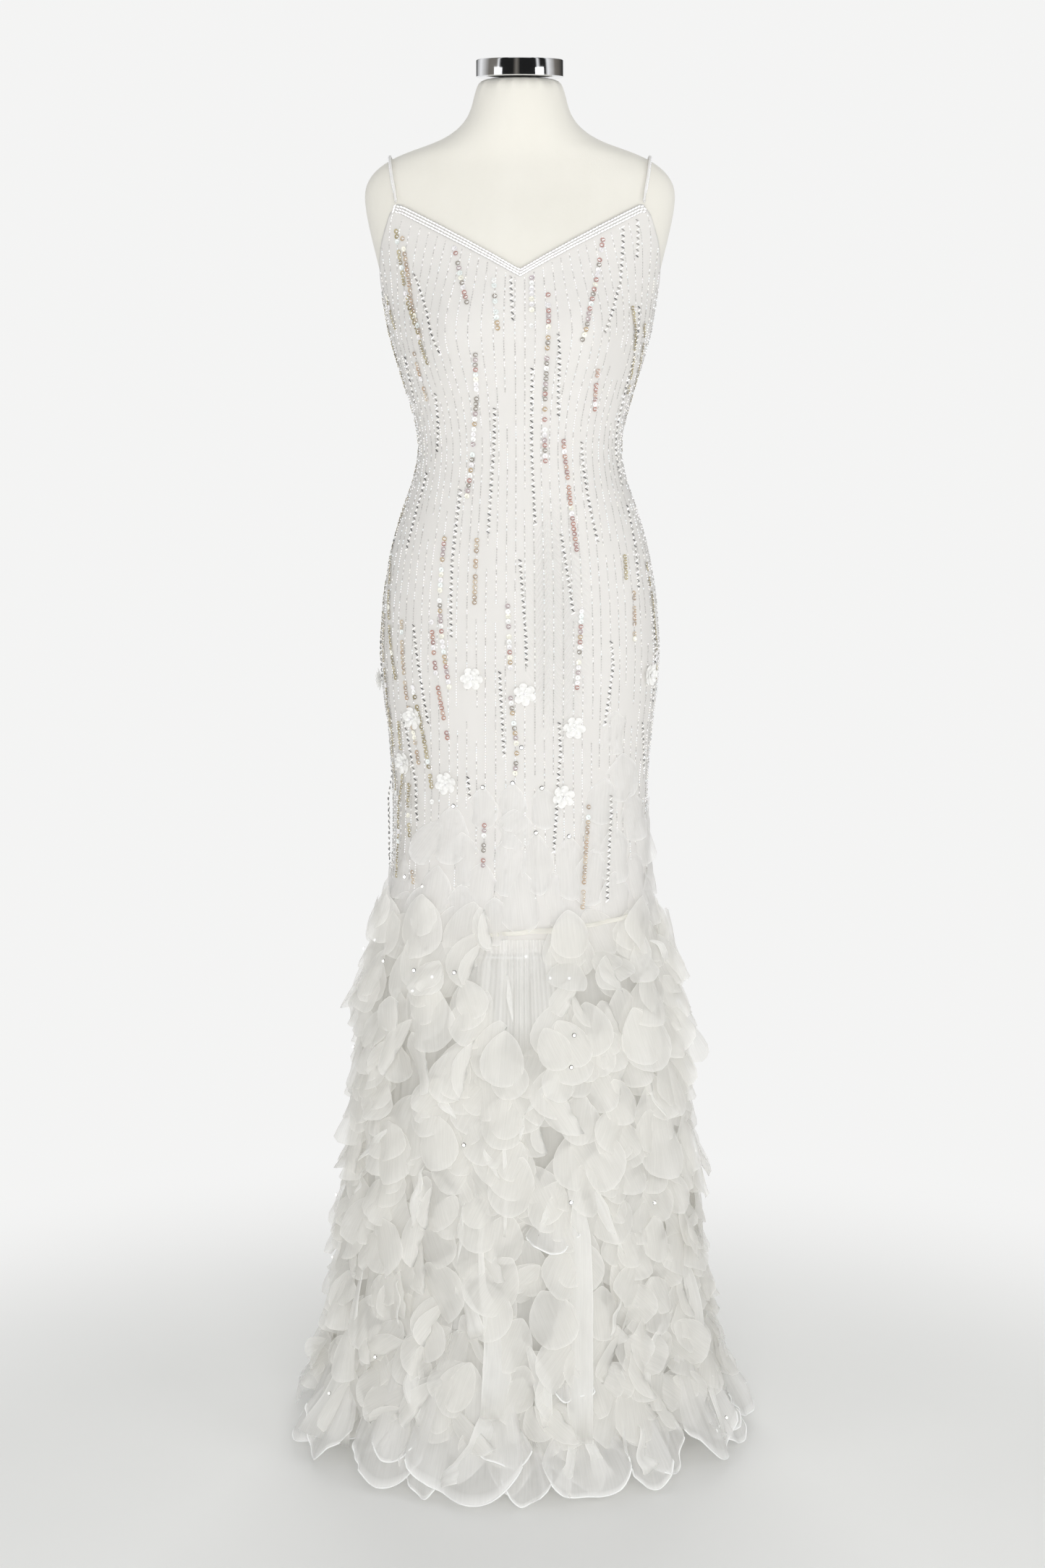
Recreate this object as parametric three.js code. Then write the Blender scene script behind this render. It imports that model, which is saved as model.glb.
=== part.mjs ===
// A full-length strappy gown on a limbless dress form.
// The gown is a fitted beaded sheath with a V neckline, sewn at the knee to a flared sheer skirt.
// Rows of organza petals hang all round from the thigh to the hem, and fabric rosettes ring the hips.
// Millimetres, +Z up, floor at Z = 0, front towards -Y. The origin is the middle of the base's underside.
import * as THREE from "three";

// Driving dimensions
const KNEE_SEAM_Z = 629;
const NECK_V_Z = 1431;
const STRAP_JOINT_Z = 1505;
const UNDERARM_Z = 1400;
const BACK_JOINT_Z = 1475;
const BACK_SCOOP_Z = 1345;
const CLOTH_CLEARANCE = 0.9; // between the form and the cloth that lies on it
const CLOTH_WALL = 1.6;
const SHEER_WALL = 1.6;
const SEAM_GAP = 0.3;
const COLUMN_DEGREES = 10; // spacing of the vertical mesh lines of form and sheath
const STRAP_TURN = 50; // where the strap meets the front, in degrees from the front's middle
const BACK_STRAP_TURN = 140;
const SIDE_TURN = 90;
const BACK_TURN = 180;

const BINDING = { height: 9, thickness: 1.8, seat: 0.5 };
const STRAP = { width: 8, thickness: 2.2, steps: 14, lift: 1.2 };
// The strap's route over the shoulder, seen from the side, fans out from a point inside the form.
const STRAP_FAN = { y: 8, z: 1475, frontDegrees: 149, backDegrees: 3, frontX: 146, shoulderX: 154, backX: 120 };
const FLUTES = 16; // folds round the hem of the skirt
const FLUTE_STEPS = 5; // mesh lines in each fold
const HEM = { lowest: 6, rise: 12 };
const PETAL = { length: 92, shoulder: 0.34, thickness: 1.2, steps: 4, seat: 0.4 };
const ROSETTE = { radius: 13, notch: 0.78, height: 6.5, lobes: 5, seat: 0.3 };
const NECK_CAP = { radius: 50.5, bottom: 1648, top: 1668 };
const POLE_RADIUS = 12.5;
const BASE = { radius: 140, rim: 5, height: 10 };
const ROUND_STEPS = 32;

// The form's outline: half its width, and its depth forward and back of the shoulder line.
// corner is 1 for an ellipse and less for a squarer section.
const FIGURE = [
  { z: 629, half: 161.5, front: 115, back: 117, corner: 0.9 },
  { z: 700, half: 155.5, front: 109, back: 116, corner: 0.9 },
  { z: 770, half: 152, front: 105, back: 118, corner: 0.9 },
  { z: 830, half: 152.5, front: 102, back: 123, corner: 0.9 },
  { z: 891, half: 157.5, front: 101, back: 129, corner: 0.9 },
  { z: 935, half: 163, front: 101, back: 132, corner: 0.9 },
  { z: 985, half: 165.5, front: 101, back: 130, corner: 0.9 },
  { z: 1049, half: 160.5, front: 100, back: 119, corner: 0.9 },
  { z: 1101, half: 151.5, front: 97, back: 107, corner: 0.9 },
  { z: 1150, half: 137, front: 92, back: 94, corner: 0.9 },
  { z: 1188, half: 122.5, front: 88, back: 86, corner: 0.9 },
  { z: 1224, half: 116.5, front: 85, back: 81, corner: 0.9 },
  { z: 1256, half: 121, front: 87, back: 83, corner: 0.9 },
  { z: 1290, half: 132, front: 91, back: 87, corner: 0.9 },
  { z: 1325, half: 143, front: 96, back: 93, corner: 0.9 },
  { z: 1358, half: 152, front: 100, back: 98, corner: 0.9 },
  { z: 1382, half: 156, front: 100, back: 100, corner: 0.9 },
  { z: 1404, half: 159.5, front: 98, back: 102, corner: 0.9 },
  { z: 1426, half: 164, front: 94, back: 102, corner: 0.9 },
  { z: 1450, half: 170, front: 88, back: 100, corner: 0.9 },
  { z: 1475, half: 176, front: 80, back: 97, corner: 0.9 },
  { z: 1495, half: 180, front: 71, back: 91, corner: 0.9 },
  { z: 1513, half: 182, front: 63, back: 83, corner: 0.9 },
  { z: 1527, half: 180, front: 57, back: 75, corner: 0.9 },
  { z: 1540, half: 172, front: 52, back: 67, corner: 0.9 },
  { z: 1550, half: 160, front: 48, back: 60, corner: 0.92 },
  { z: 1558, half: 146, front: 46, back: 56, corner: 0.94 },
  { z: 1566, half: 126, front: 45, back: 54, corner: 0.96 },
  { z: 1573, half: 104, front: 45, back: 53, corner: 0.98 },
  { z: 1582, half: 83, front: 46, back: 52, corner: 1 },
  { z: 1597, half: 64, front: 48, back: 52, corner: 1 },
  { z: 1617, half: 54.5, front: 50, back: 52, corner: 1 },
  { z: 1647.7, half: 50, front: 50, back: 50, corner: 1 },
];
const FIGURE_LEVELS = FIGURE.map((row) => row.z);
const FORM_FOOT_Z = 700; // the form ends at this section of the table
const SHEATH_TOP_ROW_Z = 1495; // the sheath follows the table's rows up to here

// Fullness of the bust, added to the front of the form.
const BUST = { x: 76, z: 1358, depth: 24, acrossSpread: 46, upSpread: 50 };

// The skirt's mean outer face below the knee, and how far its folds stand in and out.
const SKIRT = [
  { z: 0, half: 262, front: 256, back: 250, fold: 22 },
  { z: 60, half: 236, front: 230, back: 226, fold: 18 },
  { z: 120, half: 220, front: 213, back: 210, fold: 14 },
  { z: 200, half: 208, front: 200, back: 197, fold: 11 },
  { z: 290, half: 200, front: 190, back: 188, fold: 8.5 },
  { z: 380, half: 195, front: 180, back: 178, fold: 6.5 },
  { z: 460, half: 189, front: 167, back: 166, fold: 5 },
  { z: 530, half: 181, front: 149, back: 149, fold: 3.5 },
  { z: 585, half: 172, front: 130, back: 131, fold: 2 },
  { z: 629, half: 164, front: 117.5, back: 119.5, fold: 0 },
];
const SKIRT_LEVELS = [0, 60, 135, 240, 370, 510, KNEE_SEAM_Z];

// Rows of petals from the hip down. from and to are degrees from the front's middle.
const PETAL_ROWS = [
  { name: "hip_high", z: 915, from: 38, to: 64, petals: 1, flare: 5, cup: 5 },
  { name: "hip_low", z: 858, from: 34, to: 90, petals: 2, flare: 6, cup: 5 },
  { name: "thigh_high", z: 804, from: -38, to: 112, petals: 6, flare: 6, cup: 6 },
  { name: "thigh_mid", z: 748, from: -75, to: 180, petals: 10, flare: 8, cup: 6 },
  { name: "knee", z: 690, from: -180, to: 180, petals: 13, flare: 13, cup: 6 },
  { name: "skirt_1", z: 624, from: -180, to: 180, petals: 14, flare: 19, cup: 7 },
  { name: "skirt_2", z: 556, from: -180, to: 180, petals: 15, flare: 19, cup: 7 },
  { name: "skirt_3", z: 486, from: -180, to: 180, petals: 16, flare: 18, cup: 7 },
  { name: "skirt_4", z: 415, from: -180, to: 180, petals: 16, flare: 17, cup: 7 },
  { name: "skirt_5", z: 344, from: -180, to: 180, petals: 17, flare: 16, cup: 7 },
  { name: "skirt_6", z: 273, from: -180, to: 180, petals: 17, flare: 15, cup: 6 },
  { name: "skirt_7", z: 202, from: -180, to: 180, petals: 18, flare: 12, cup: 6 },
  { name: "skirt_8", z: 132, from: -180, to: 180, petals: 18, flare: 8, cup: 5 },
];

// Rosettes round the hips, by height and by degrees from the front's middle.
const ROSETTES = [
  { turn: -18, z: 961 },
  { turn: 1, z: 944 },
  { turn: 21, z: 904 },
  { turn: -49, z: 910 },
  { turn: -60, z: 854 },
  { turn: -32, z: 834 },
  { turn: 17, z: 822 },
  { turn: 66, z: 957 },
  { turn: 112, z: 925 },
  { turn: 150, z: 958 },
  { turn: 178, z: 915 },
  { turn: -152, z: 950 },
  { turn: -118, z: 922 },
  { turn: -88, z: 945 },
];

const radians = THREE.MathUtils.degToRad;

// A value of a table's column at height z, on a smooth curve through the rows.
function columnAt(table, column, z) {
  const last = table.length - 1;
  let i = 0;
  while (i < last - 1 && z > table[i + 1].z) i += 1;
  const slope = (k) => {
    const low = table[Math.max(k - 1, 0)];
    const high = table[Math.min(k + 1, last)];
    return (high[column] - low[column]) / (high.z - low.z);
  };
  const span = table[i + 1].z - table[i].z;
  const t = THREE.MathUtils.clamp((z - table[i].z) / span, 0, 1);
  const rise = t * t * (3 - 2 * t);
  const startBend = t * (1 - t) * (1 - t) * span * slope(i);
  const endBend = t * t * (1 - t) * span * slope(i + 1);
  const base = table[i][column] + (table[i + 1][column] - table[i][column]) * rise;
  return base + startBend - endBend;
}

// A point at height z on the straight line between the two levels round it, as the walls' faces run.
function onLevels(levels, z, pointAt) {
  let i = 0;
  while (i < levels.length - 2 && z > levels[i + 1]) i += 1;
  const share = (z - levels[i]) / (levels[i + 1] - levels[i]);
  if (share === 0) return pointAt(levels[i]);
  if (share === 1) return pointAt(levels[i + 1]);
  return pointAt(levels[i]).lerp(pointAt(levels[i + 1]), share);
}

function bustDepth(x, z) {
  const up = Math.exp(-(((z - BUST.z) / BUST.upSpread) ** 2));
  const across = Math.exp(-(((Math.abs(x) - BUST.x) / BUST.acrossSpread) ** 2));
  return BUST.depth * up * across;
}

// A point round the figure, at a turn in degrees from the front's middle, moved out from the form's face.
function figurePoint(turn, height, out) {
  const sine = Math.sin(radians(turn));
  const cosine = Math.cos(radians(turn));
  return onLevels(FIGURE_LEVELS, height, (z) => {
    const corner = columnAt(FIGURE, "corner", z);
    const depth = columnAt(FIGURE, cosine > 0 ? "front" : "back", z) + out;
    const x = (columnAt(FIGURE, "half", z) + out) * Math.sign(sine) * Math.abs(sine) ** corner;
    const y = -depth * Math.sign(cosine) * Math.abs(cosine) ** corner;
    const fullness = cosine > 0 ? bustDepth(x, z) * Math.sqrt(cosine) : 0;
    return new THREE.Vector3(x, y - fullness, z);
  });
}

// The skirt's slow swell, and its folds about that swell.
function swell(turn) {
  return 0.25 * Math.sin(radians(5 * turn + 40));
}
function foldWave(turn, z) {
  const drift = 28 * Math.sin(radians(3 * turn)) + 0.05 * (KNEE_SEAM_Z - z) * Math.sin(radians(2 * turn + 30));
  return Math.cos(radians(FLUTES * turn + drift)) + swell(turn);
}

// A point of the skirt. waveAt gives how far through its folds' depth it stands at each level.
function skirtPoint(turn, height, waveAt, out) {
  const sine = Math.sin(radians(turn));
  const cosine = Math.cos(radians(turn));
  return onLevels(SKIRT_LEVELS, height, (z) => {
    const corner = THREE.MathUtils.lerp(1, FIGURE[0].corner, (z / KNEE_SEAM_Z) ** 2);
    const reach = out + waveAt(turn, z) * columnAt(SKIRT, "fold", z);
    const depth = columnAt(SKIRT, cosine > 0 ? "front" : "back", z) + reach;
    const half = columnAt(SKIRT, "half", z) + reach;
    const x = half * Math.sign(sine) * Math.abs(sine) ** corner;
    const y = -depth * Math.sign(cosine) * Math.abs(cosine) ** corner;
    return new THREE.Vector3(x, y, z);
  });
}

// The outermost face of the gown without its petals, for what is sewn on it.
function gownSkin(turn, z, out) {
  if (z >= KNEE_SEAM_Z) return figurePoint(turn, z, CLOTH_CLEARANCE + CLOTH_WALL + out);
  return skirtPoint(turn, z, (t) => 1 + swell(t), out);
}

// A closed solid from two matching grids of points, rows going up and columns going round.
function wallBetween(outer, inner, isRing) {
  const rows = outer.length;
  const columns = outer[0].length;
  const points = [...outer.flat(), ...inner.flat()];
  const innerStart = rows * columns;
  const index = [];
  const quad = (a, b, c, d) => index.push(a, b, c, a, c, d);
  const lastColumn = isRing ? columns : columns - 1;
  for (let c = 0; c < lastColumn; c += 1) {
    const next = (c + 1) % columns;
    for (let r = 0; r < rows - 1; r += 1) {
      const low = r * columns;
      const high = low + columns;
      quad(low + c, low + next, high + next, high + c);
      quad(innerStart + low + c, innerStart + high + c, innerStart + high + next, innerStart + low + next);
    }
    const top = (rows - 1) * columns;
    quad(innerStart + c, innerStart + next, next, c);
    quad(top + c, top + next, innerStart + top + next, innerStart + top + c);
  }
  if (!isRing) {
    for (let r = 0; r < rows - 1; r += 1) {
      const low = r * columns;
      const high = low + columns;
      const end = columns - 1;
      quad(innerStart + low, low, high, innerStart + high);
      quad(low + end, innerStart + low + end, innerStart + high + end, high + end);
    }
  }
  return indexedGeometry(points, index);
}

function indexedGeometry(points, index) {
  const geometry = new THREE.BufferGeometry().setFromPoints(points);
  geometry.setIndex(index);
  geometry.computeVertexNormals();
  return geometry;
}

// The form: sections of the table joined into one closed body from the foot to the neck.
function formGeometry() {
  const columns = 360 / COLUMN_DEGREES;
  const sections = FIGURE.filter((row) => row.z >= FORM_FOOT_Z);
  const points = sections.flatMap((row) =>
    Array.from({ length: columns }, (_, c) => figurePoint(c * COLUMN_DEGREES, row.z, 0)),
  );
  const index = [];
  for (let r = 0; r < sections.length - 1; r += 1) {
    for (let c = 0; c < columns; c += 1) {
      const next = (c + 1) % columns;
      const low = r * columns;
      const high = low + columns;
      index.push(low + c, low + next, high + next, low + c, high + next, high + c);
    }
  }
  const foot = points.push(new THREE.Vector3(0, 0, FORM_FOOT_Z)) - 1;
  const crown = points.push(new THREE.Vector3(0, 0, sections.at(-1).z)) - 1;
  const topStart = (sections.length - 1) * columns;
  for (let c = 0; c < columns; c += 1) {
    const next = (c + 1) % columns;
    index.push(foot, next, c);
    index.push(crown, topStart + c, topStart + next);
  }
  return indexedGeometry(points, index);
}

// The height of the sheath's top edge: V neckline, straps' joints, armholes and scooped back.
function topEdgeZ(turn) {
  const away = Math.abs(turn);
  if (away <= STRAP_TURN) {
    const corner = FIGURE[0].corner;
    const share = (Math.sin(radians(away)) / Math.sin(radians(STRAP_TURN))) ** corner;
    return THREE.MathUtils.lerp(NECK_V_Z, STRAP_JOINT_Z, share);
  }
  if (away <= SIDE_TURN) {
    const left = (SIDE_TURN - away) / (SIDE_TURN - STRAP_TURN);
    return THREE.MathUtils.lerp(UNDERARM_Z, STRAP_JOINT_Z, left ** 1.15);
  }
  if (away <= BACK_STRAP_TURN) {
    const share = (away - SIDE_TURN) / (BACK_STRAP_TURN - SIDE_TURN);
    return THREE.MathUtils.lerp(UNDERARM_Z, BACK_JOINT_Z, share ** 2.2);
  }
  const share = (BACK_TURN - away) / (BACK_TURN - BACK_STRAP_TURN);
  return THREE.MathUtils.lerp(BACK_SCOOP_Z, BACK_JOINT_Z, share ** 1.6);
}

// Moves a panel's edge point back from its seam, so that neighbouring panels stay apart.
function partAtSeam(point, turn, middle) {
  const away = Math.abs(turn);
  if (away === SIDE_TURN) point.y += (middle === 0 ? -1 : 1) * (SEAM_GAP / 2);
  if (away === BACK_TURN) point.x += Math.sign(middle) * (SEAM_GAP / 2);
  return point;
}

function turnsBetween(from, to, step) {
  const count = Math.round((to - from) / step);
  return Array.from({ length: count + 1 }, (_, i) => from + ((to - from) * i) / count);
}

// A panel of the sheath. Rows that would pass its top edge are gathered just under it.
function sheathPanel(from, to) {
  const middle = (from + to) / 2;
  const levels = FIGURE.filter((row) => row.z <= SHEATH_TOP_ROW_Z).map((row) => row.z);
  levels.push(Infinity);
  const packed = 1.5;
  const turns = turnsBetween(from, to, COLUMN_DEGREES);
  const gridAt = (out) =>
    levels.map((level, r) =>
      turns.map((turn) => {
        const z = Math.min(level, topEdgeZ(turn) - (levels.length - 1 - r) * packed);
        return partAtSeam(figurePoint(turn, z, out), turn, middle);
      }),
    );
  return wallBetween(gridAt(CLOTH_CLEARANCE + CLOTH_WALL), gridAt(CLOTH_CLEARANCE), false);
}

// A beaded binding along a neckline, laid on the panel's own points.
function neckBinding(from, to) {
  const middle = (from + to) / 2;
  const turns = turnsBetween(from, to, COLUMN_DEGREES);
  const seat = CLOTH_CLEARANCE + CLOTH_WALL + BINDING.seat;
  const gridAt = (out) =>
    [BINDING.height, 0].map((down) =>
      turns.map((turn) => partAtSeam(figurePoint(turn, topEdgeZ(turn) - down, out), turn, middle)),
    );
  return wallBetween(gridAt(seat + BINDING.thickness), gridAt(seat), false);
}

function isInsideForm(x, y, z) {
  const power = 2 / columnAt(FIGURE, "corner", z);
  const depth = columnAt(FIGURE, y < 0 ? "front" : "back", z);
  const across = (Math.abs(x) / columnAt(FIGURE, "half", z)) ** power;
  return across + (Math.abs(y) / depth) ** power < 1;
}

// How far the form's face is from the strap's fan point, at a place across and an angle up from the back.
function shoulderReach(x, angle) {
  let low = 0;
  let high = 120;
  for (let k = 0; k < 40; k += 1) {
    const far = (low + high) / 2;
    const isIn = isInsideForm(x, STRAP_FAN.y + far * Math.cos(angle), STRAP_FAN.z + far * Math.sin(angle));
    if (isIn) low = far;
    else high = far;
  }
  return high;
}

// A strap over one shoulder, laid on the form's face. side is 1 for the wearer's left, at +X.
function strapGeometry(side) {
  const grid = (lift) =>
    Array.from({ length: STRAP.steps + 1 }, (_, k) => {
      const share = k / STRAP.steps;
      const angle = radians(THREE.MathUtils.lerp(STRAP_FAN.frontDegrees, STRAP_FAN.backDegrees, share));
      const ends = THREE.MathUtils.lerp(STRAP_FAN.frontX, STRAP_FAN.backX, share);
      const bow = STRAP_FAN.shoulderX - (STRAP_FAN.frontX + STRAP_FAN.backX) / 2;
      const middle = ends + bow * Math.sin(Math.PI * share);
      return [-side, side].map((edge) => {
        const place = middle + (edge * STRAP.width) / 2;
        const far = shoulderReach(place, angle) + lift;
        const y = STRAP_FAN.y + far * Math.cos(angle);
        const z = STRAP_FAN.z + far * Math.sin(angle);
        return new THREE.Vector3(side * place, y, z);
      });
    });
  return wallBetween(grid(STRAP.lift + STRAP.thickness), grid(STRAP.lift), false);
}

// One half of the sheer skirt, folded all round, with a waved hem.
function skirtPanel(from, to) {
  const middle = (from + to) / 2;
  const turns = turnsBetween(from, to, 360 / (FLUTES * FLUTE_STEPS));
  const hemZ = (turn) => HEM.lowest + (HEM.rise * (1.25 - foldWave(turn, 0))) / 2;
  const nudge = 0.2;
  const gridAt = (depthIn) =>
    SKIRT_LEVELS.map((level) =>
      turns.map((turn) => {
        const z = Math.min(Math.max(level, hemZ(turn)), KNEE_SEAM_Z - SEAM_GAP);
        const at = (t) => skirtPoint(t, z, foldWave, 0);
        const along = at(turn + nudge).sub(at(turn - nudge)).normalize();
        const inward = new THREE.Vector3(-along.y, along.x, 0);
        return partAtSeam(at(turn).addScaledVector(inward, depthIn), turn, middle);
      }),
    );
  return wallBetween(gridAt(0), gridAt(SHEER_WALL), false);
}

// A repeatable share from 0 to 1 for a petal's own length and stance.
function shareOf(row, petal) {
  const value = Math.sin(row * 12.9898 + petal * 78.233) * 43758.5453;
  return value - Math.floor(value);
}

// A row of petals: one band sewn to the gown at its top, whose lower edge swings out in rounded petals.
function petalRow(row, number) {
  const isRing = row.to - row.from === 360;
  const columns = row.petals * PETAL.steps;
  const width = (row.to - row.from) / row.petals;
  const start = row.from + (isRing ? (number % 2) * (width / 2) : 0);
  const count = isRing ? columns : columns + 1;
  const downShares = [1, 0.55, 0];
  const gridAt = (out) =>
    downShares.map((down) =>
      Array.from({ length: count }, (_, c) => {
        const petal = Math.floor(c / PETAL.steps);
        const across = ((c % PETAL.steps) / PETAL.steps) * 2 - 1;
        const isCusp = c % PETAL.steps === 0;
        const stance = isCusp ? 0.5 : shareOf(number, petal);
        const long = PETAL.length * (0.92 + 0.12 * stance);
        const round = Math.sqrt(1 - across * across);
        const drop = long * (PETAL.shoulder + (1 - PETAL.shoulder) * round) * down;
        const along = drop / PETAL.length;
        const swing = row.flare * (0.8 + 0.4 * stance) * along ** 1.3 + row.cup * round * along;
        const turn = start + (width * c) / PETAL.steps;
        return gownSkin(turn, row.z - drop, PETAL.seat + swing + out);
      }),
    );
  return wallBetween(gridAt(PETAL.thickness), gridAt(0), isRing);
}

// A gathered rosette: a lobed button of cloth, thicker towards its middle.
function rosetteGeometry() {
  const count = ROSETTE.lobes * 2;
  const rings = [
    { reach: 1, height: 0 },
    { reach: 1, height: 0.4 },
    { reach: 0.42, height: 1 },
  ];
  const points = rings.flatMap((ring) =>
    Array.from({ length: count }, (_, c) => {
      const lobe = c % 2 === 0 || ring.reach < 1 ? 1 : ROSETTE.notch;
      const angle = (c / count) * 2 * Math.PI;
      const far = ROSETTE.radius * ring.reach * lobe;
      return new THREE.Vector3(far * Math.cos(angle), far * Math.sin(angle), ROSETTE.height * ring.height);
    }),
  );
  const foot = points.push(new THREE.Vector3(0, 0, 0)) - 1;
  const heart = points.push(new THREE.Vector3(0, 0, ROSETTE.height * 0.7)) - 1;
  const index = [];
  for (let c = 0; c < count; c += 1) {
    const next = (c + 1) % count;
    index.push(foot, next, c);
    for (let r = 0; r < rings.length - 1; r += 1) {
      const low = r * count;
      const high = low + count;
      index.push(low + c, low + next, high + next, low + c, high + next, high + c);
    }
    const top = (rings.length - 1) * count;
    index.push(heart, top + c, top + next);
  }
  return indexedGeometry(points, index);
}

// A disc with a rounded rim, turned about the upright axis from its own profile.
function baseGeometry() {
  const profile = [
    [0, 0],
    [BASE.radius, 0],
    [BASE.radius, BASE.height - BASE.rim],
    [BASE.radius - BASE.rim, BASE.height],
    [0, BASE.height],
  ].map(([radius, z]) => new THREE.Vector2(radius, z));
  return new THREE.LatheGeometry(profile, ROUND_STEPS).rotateX(Math.PI / 2);
}

function uprightCylinder(radius, bottom, top) {
  const geometry = new THREE.CylinderGeometry(radius, radius, top - bottom, ROUND_STEPS);
  return geometry.rotateX(Math.PI / 2).translate(0, 0, (bottom + top) / 2);
}

const ivoryJersey = new THREE.MeshStandardMaterial({ color: 0xf1ede4, roughness: 0.85, metalness: 0 });
const chrome = new THREE.MeshStandardMaterial({ color: 0xc9cbce, roughness: 0.12, metalness: 1 });
const whiteEnamel = new THREE.MeshStandardMaterial({ color: 0xe9e9e6, roughness: 0.4, metalness: 0.1 });
const beadedCrepe = new THREE.MeshStandardMaterial({ color: 0xf0efee, roughness: 0.7, metalness: 0 });
const beadTrim = new THREE.MeshStandardMaterial({ color: 0xf5f5f4, roughness: 0.35, metalness: 0.1 });
const sheerChiffon = new THREE.MeshStandardMaterial({ color: 0xecebe6, roughness: 0.8, metalness: 0 });
const organza = new THREE.MeshStandardMaterial({ color: 0xf6f5f1, roughness: 0.6, metalness: 0 });

const gownOnForm = new THREE.Group();
function add(name, geometry, material) {
  const mesh = new THREE.Mesh(geometry, material);
  mesh.name = name;
  gownOnForm.add(mesh);
  return mesh;
}

// The dress form and its stand
add("form_body", formGeometry(), ivoryJersey);
add("form_neck_cap", uprightCylinder(NECK_CAP.radius, NECK_CAP.bottom, NECK_CAP.top), chrome);
add("form_pole", uprightCylinder(POLE_RADIUS, BASE.height + SEAM_GAP, FORM_FOOT_Z - SEAM_GAP), whiteEnamel);
add("form_base", baseGeometry(), whiteEnamel);

// The fitted sheath
add("sheath_front", sheathPanel(-SIDE_TURN, SIDE_TURN), beadedCrepe);
add("sheath_back_right", sheathPanel(SIDE_TURN, BACK_TURN), beadedCrepe);
add("sheath_back_left", sheathPanel(-BACK_TURN, -SIDE_TURN), beadedCrepe);
add("binding_front", neckBinding(-STRAP_TURN, STRAP_TURN), beadTrim);
add("binding_back_right", neckBinding(BACK_STRAP_TURN, BACK_TURN), beadTrim);
add("binding_back_left", neckBinding(-BACK_TURN, -BACK_STRAP_TURN), beadTrim);
add("strap_right", strapGeometry(1), beadTrim);
add("strap_left", strapGeometry(-1), beadTrim);

// The flared skirt
add("skirt_front", skirtPanel(-SIDE_TURN, SIDE_TURN), sheerChiffon);
add("skirt_back", skirtPanel(SIDE_TURN, SIDE_TURN + BACK_TURN), sheerChiffon);

PETAL_ROWS.forEach((row, number) => add(`petals_${row.name}`, petalRow(row, number), organza));

ROSETTES.forEach((place, number) => {
  const seat = gownSkin(place.turn, place.z, ROSETTE.seat);
  const nudge = 2;
  const across = gownSkin(place.turn + nudge, place.z, ROSETTE.seat).sub(seat);
  const up = gownSkin(place.turn, place.z + nudge, ROSETTE.seat).sub(seat);
  const outward = across.clone().cross(up).normalize();
  const rosette = add(`rosette_${number + 1}`, rosetteGeometry(), organza);
  rosette.quaternion.setFromUnitVectors(new THREE.Vector3(0, 0, 1), outward);
  rosette.position.copy(seat);
});

export default gownOnForm;
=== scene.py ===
# %% [markdown]
# # A beaded gown with organza petals, on a dress form
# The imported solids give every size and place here: the form, the fitted sheath, the flared skirt,
# the rows of petals and the rosettes. This notebook dresses them. It reads the surface of the solids
# once, and then sews beads, sequins, petals and folds onto that surface, as a maker would.

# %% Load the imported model
import math

import bmesh
import bpy
import numpy as np
from mathutils import Matrix, Vector
from mathutils.bvhtree import BVHTree


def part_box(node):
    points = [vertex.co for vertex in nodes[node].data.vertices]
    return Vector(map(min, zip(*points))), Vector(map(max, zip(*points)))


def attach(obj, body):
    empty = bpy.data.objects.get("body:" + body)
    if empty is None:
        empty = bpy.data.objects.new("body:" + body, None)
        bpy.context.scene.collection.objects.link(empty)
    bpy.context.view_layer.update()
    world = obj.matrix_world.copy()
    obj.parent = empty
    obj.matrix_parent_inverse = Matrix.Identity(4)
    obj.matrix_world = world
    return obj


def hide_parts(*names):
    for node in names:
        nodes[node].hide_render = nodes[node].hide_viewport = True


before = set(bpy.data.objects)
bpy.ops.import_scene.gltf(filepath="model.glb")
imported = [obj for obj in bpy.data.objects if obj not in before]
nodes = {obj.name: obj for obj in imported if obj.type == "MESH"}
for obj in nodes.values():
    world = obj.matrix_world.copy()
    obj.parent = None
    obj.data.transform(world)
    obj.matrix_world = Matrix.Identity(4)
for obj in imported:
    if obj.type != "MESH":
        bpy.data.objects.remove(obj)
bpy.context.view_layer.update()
scene = bpy.context.scene
random = np.random.default_rng(20)

# %% [markdown]
# ## The camera
# The photograph was taken from just over three metres away, near the height of the bust, looking a little
# down. Its focal length is known in the photograph's pixels, so a pixel can be turned into a ray. Rays are
# how lines of beads are later put where the photograph shows them.

# %% Camera
PHOTO_WIDTH, PHOTO_HEIGHT = 1445, 2168
FOCAL_PIXELS = 3710
SENSOR = 36.0
CAMERA_PLACE = Vector((0.003, -3.2, 1.461))
CAMERA_DOWN = math.radians(11.4)

camera_data = bpy.data.cameras.new("camera")
camera_data.sensor_width = SENSOR
camera_data.lens = SENSOR * FOCAL_PIXELS / PHOTO_HEIGHT
camera = bpy.data.objects.new("camera", camera_data)
camera.location = CAMERA_PLACE
camera.rotation_euler = (math.pi / 2 - CAMERA_DOWN, 0, 0)
scene.collection.objects.link(camera)
scene.camera = camera


def pixel_ray(across, down):
    """The direction in which the camera sees a pixel of the photograph."""
    seen = Vector((across - PHOTO_WIDTH / 2, PHOTO_HEIGHT / 2 - down, -FOCAL_PIXELS))
    return (camera.rotation_euler.to_matrix() @ seen).normalized()


print("lens:", round(camera_data.lens, 1), "mm")

# %% [markdown]
# ## Reading the surface
# The solids are faceted, with a mesh line every ten degrees. Cloth needs a smooth surface, so rays are cast
# from all round towards the upright axis, and the distances found are kept as one table: a radius for each
# direction and height. Averaging neighbours in the table rounds the facets off. A table like this is quicker
# than rays when thousands of beads ask for their places.

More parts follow.
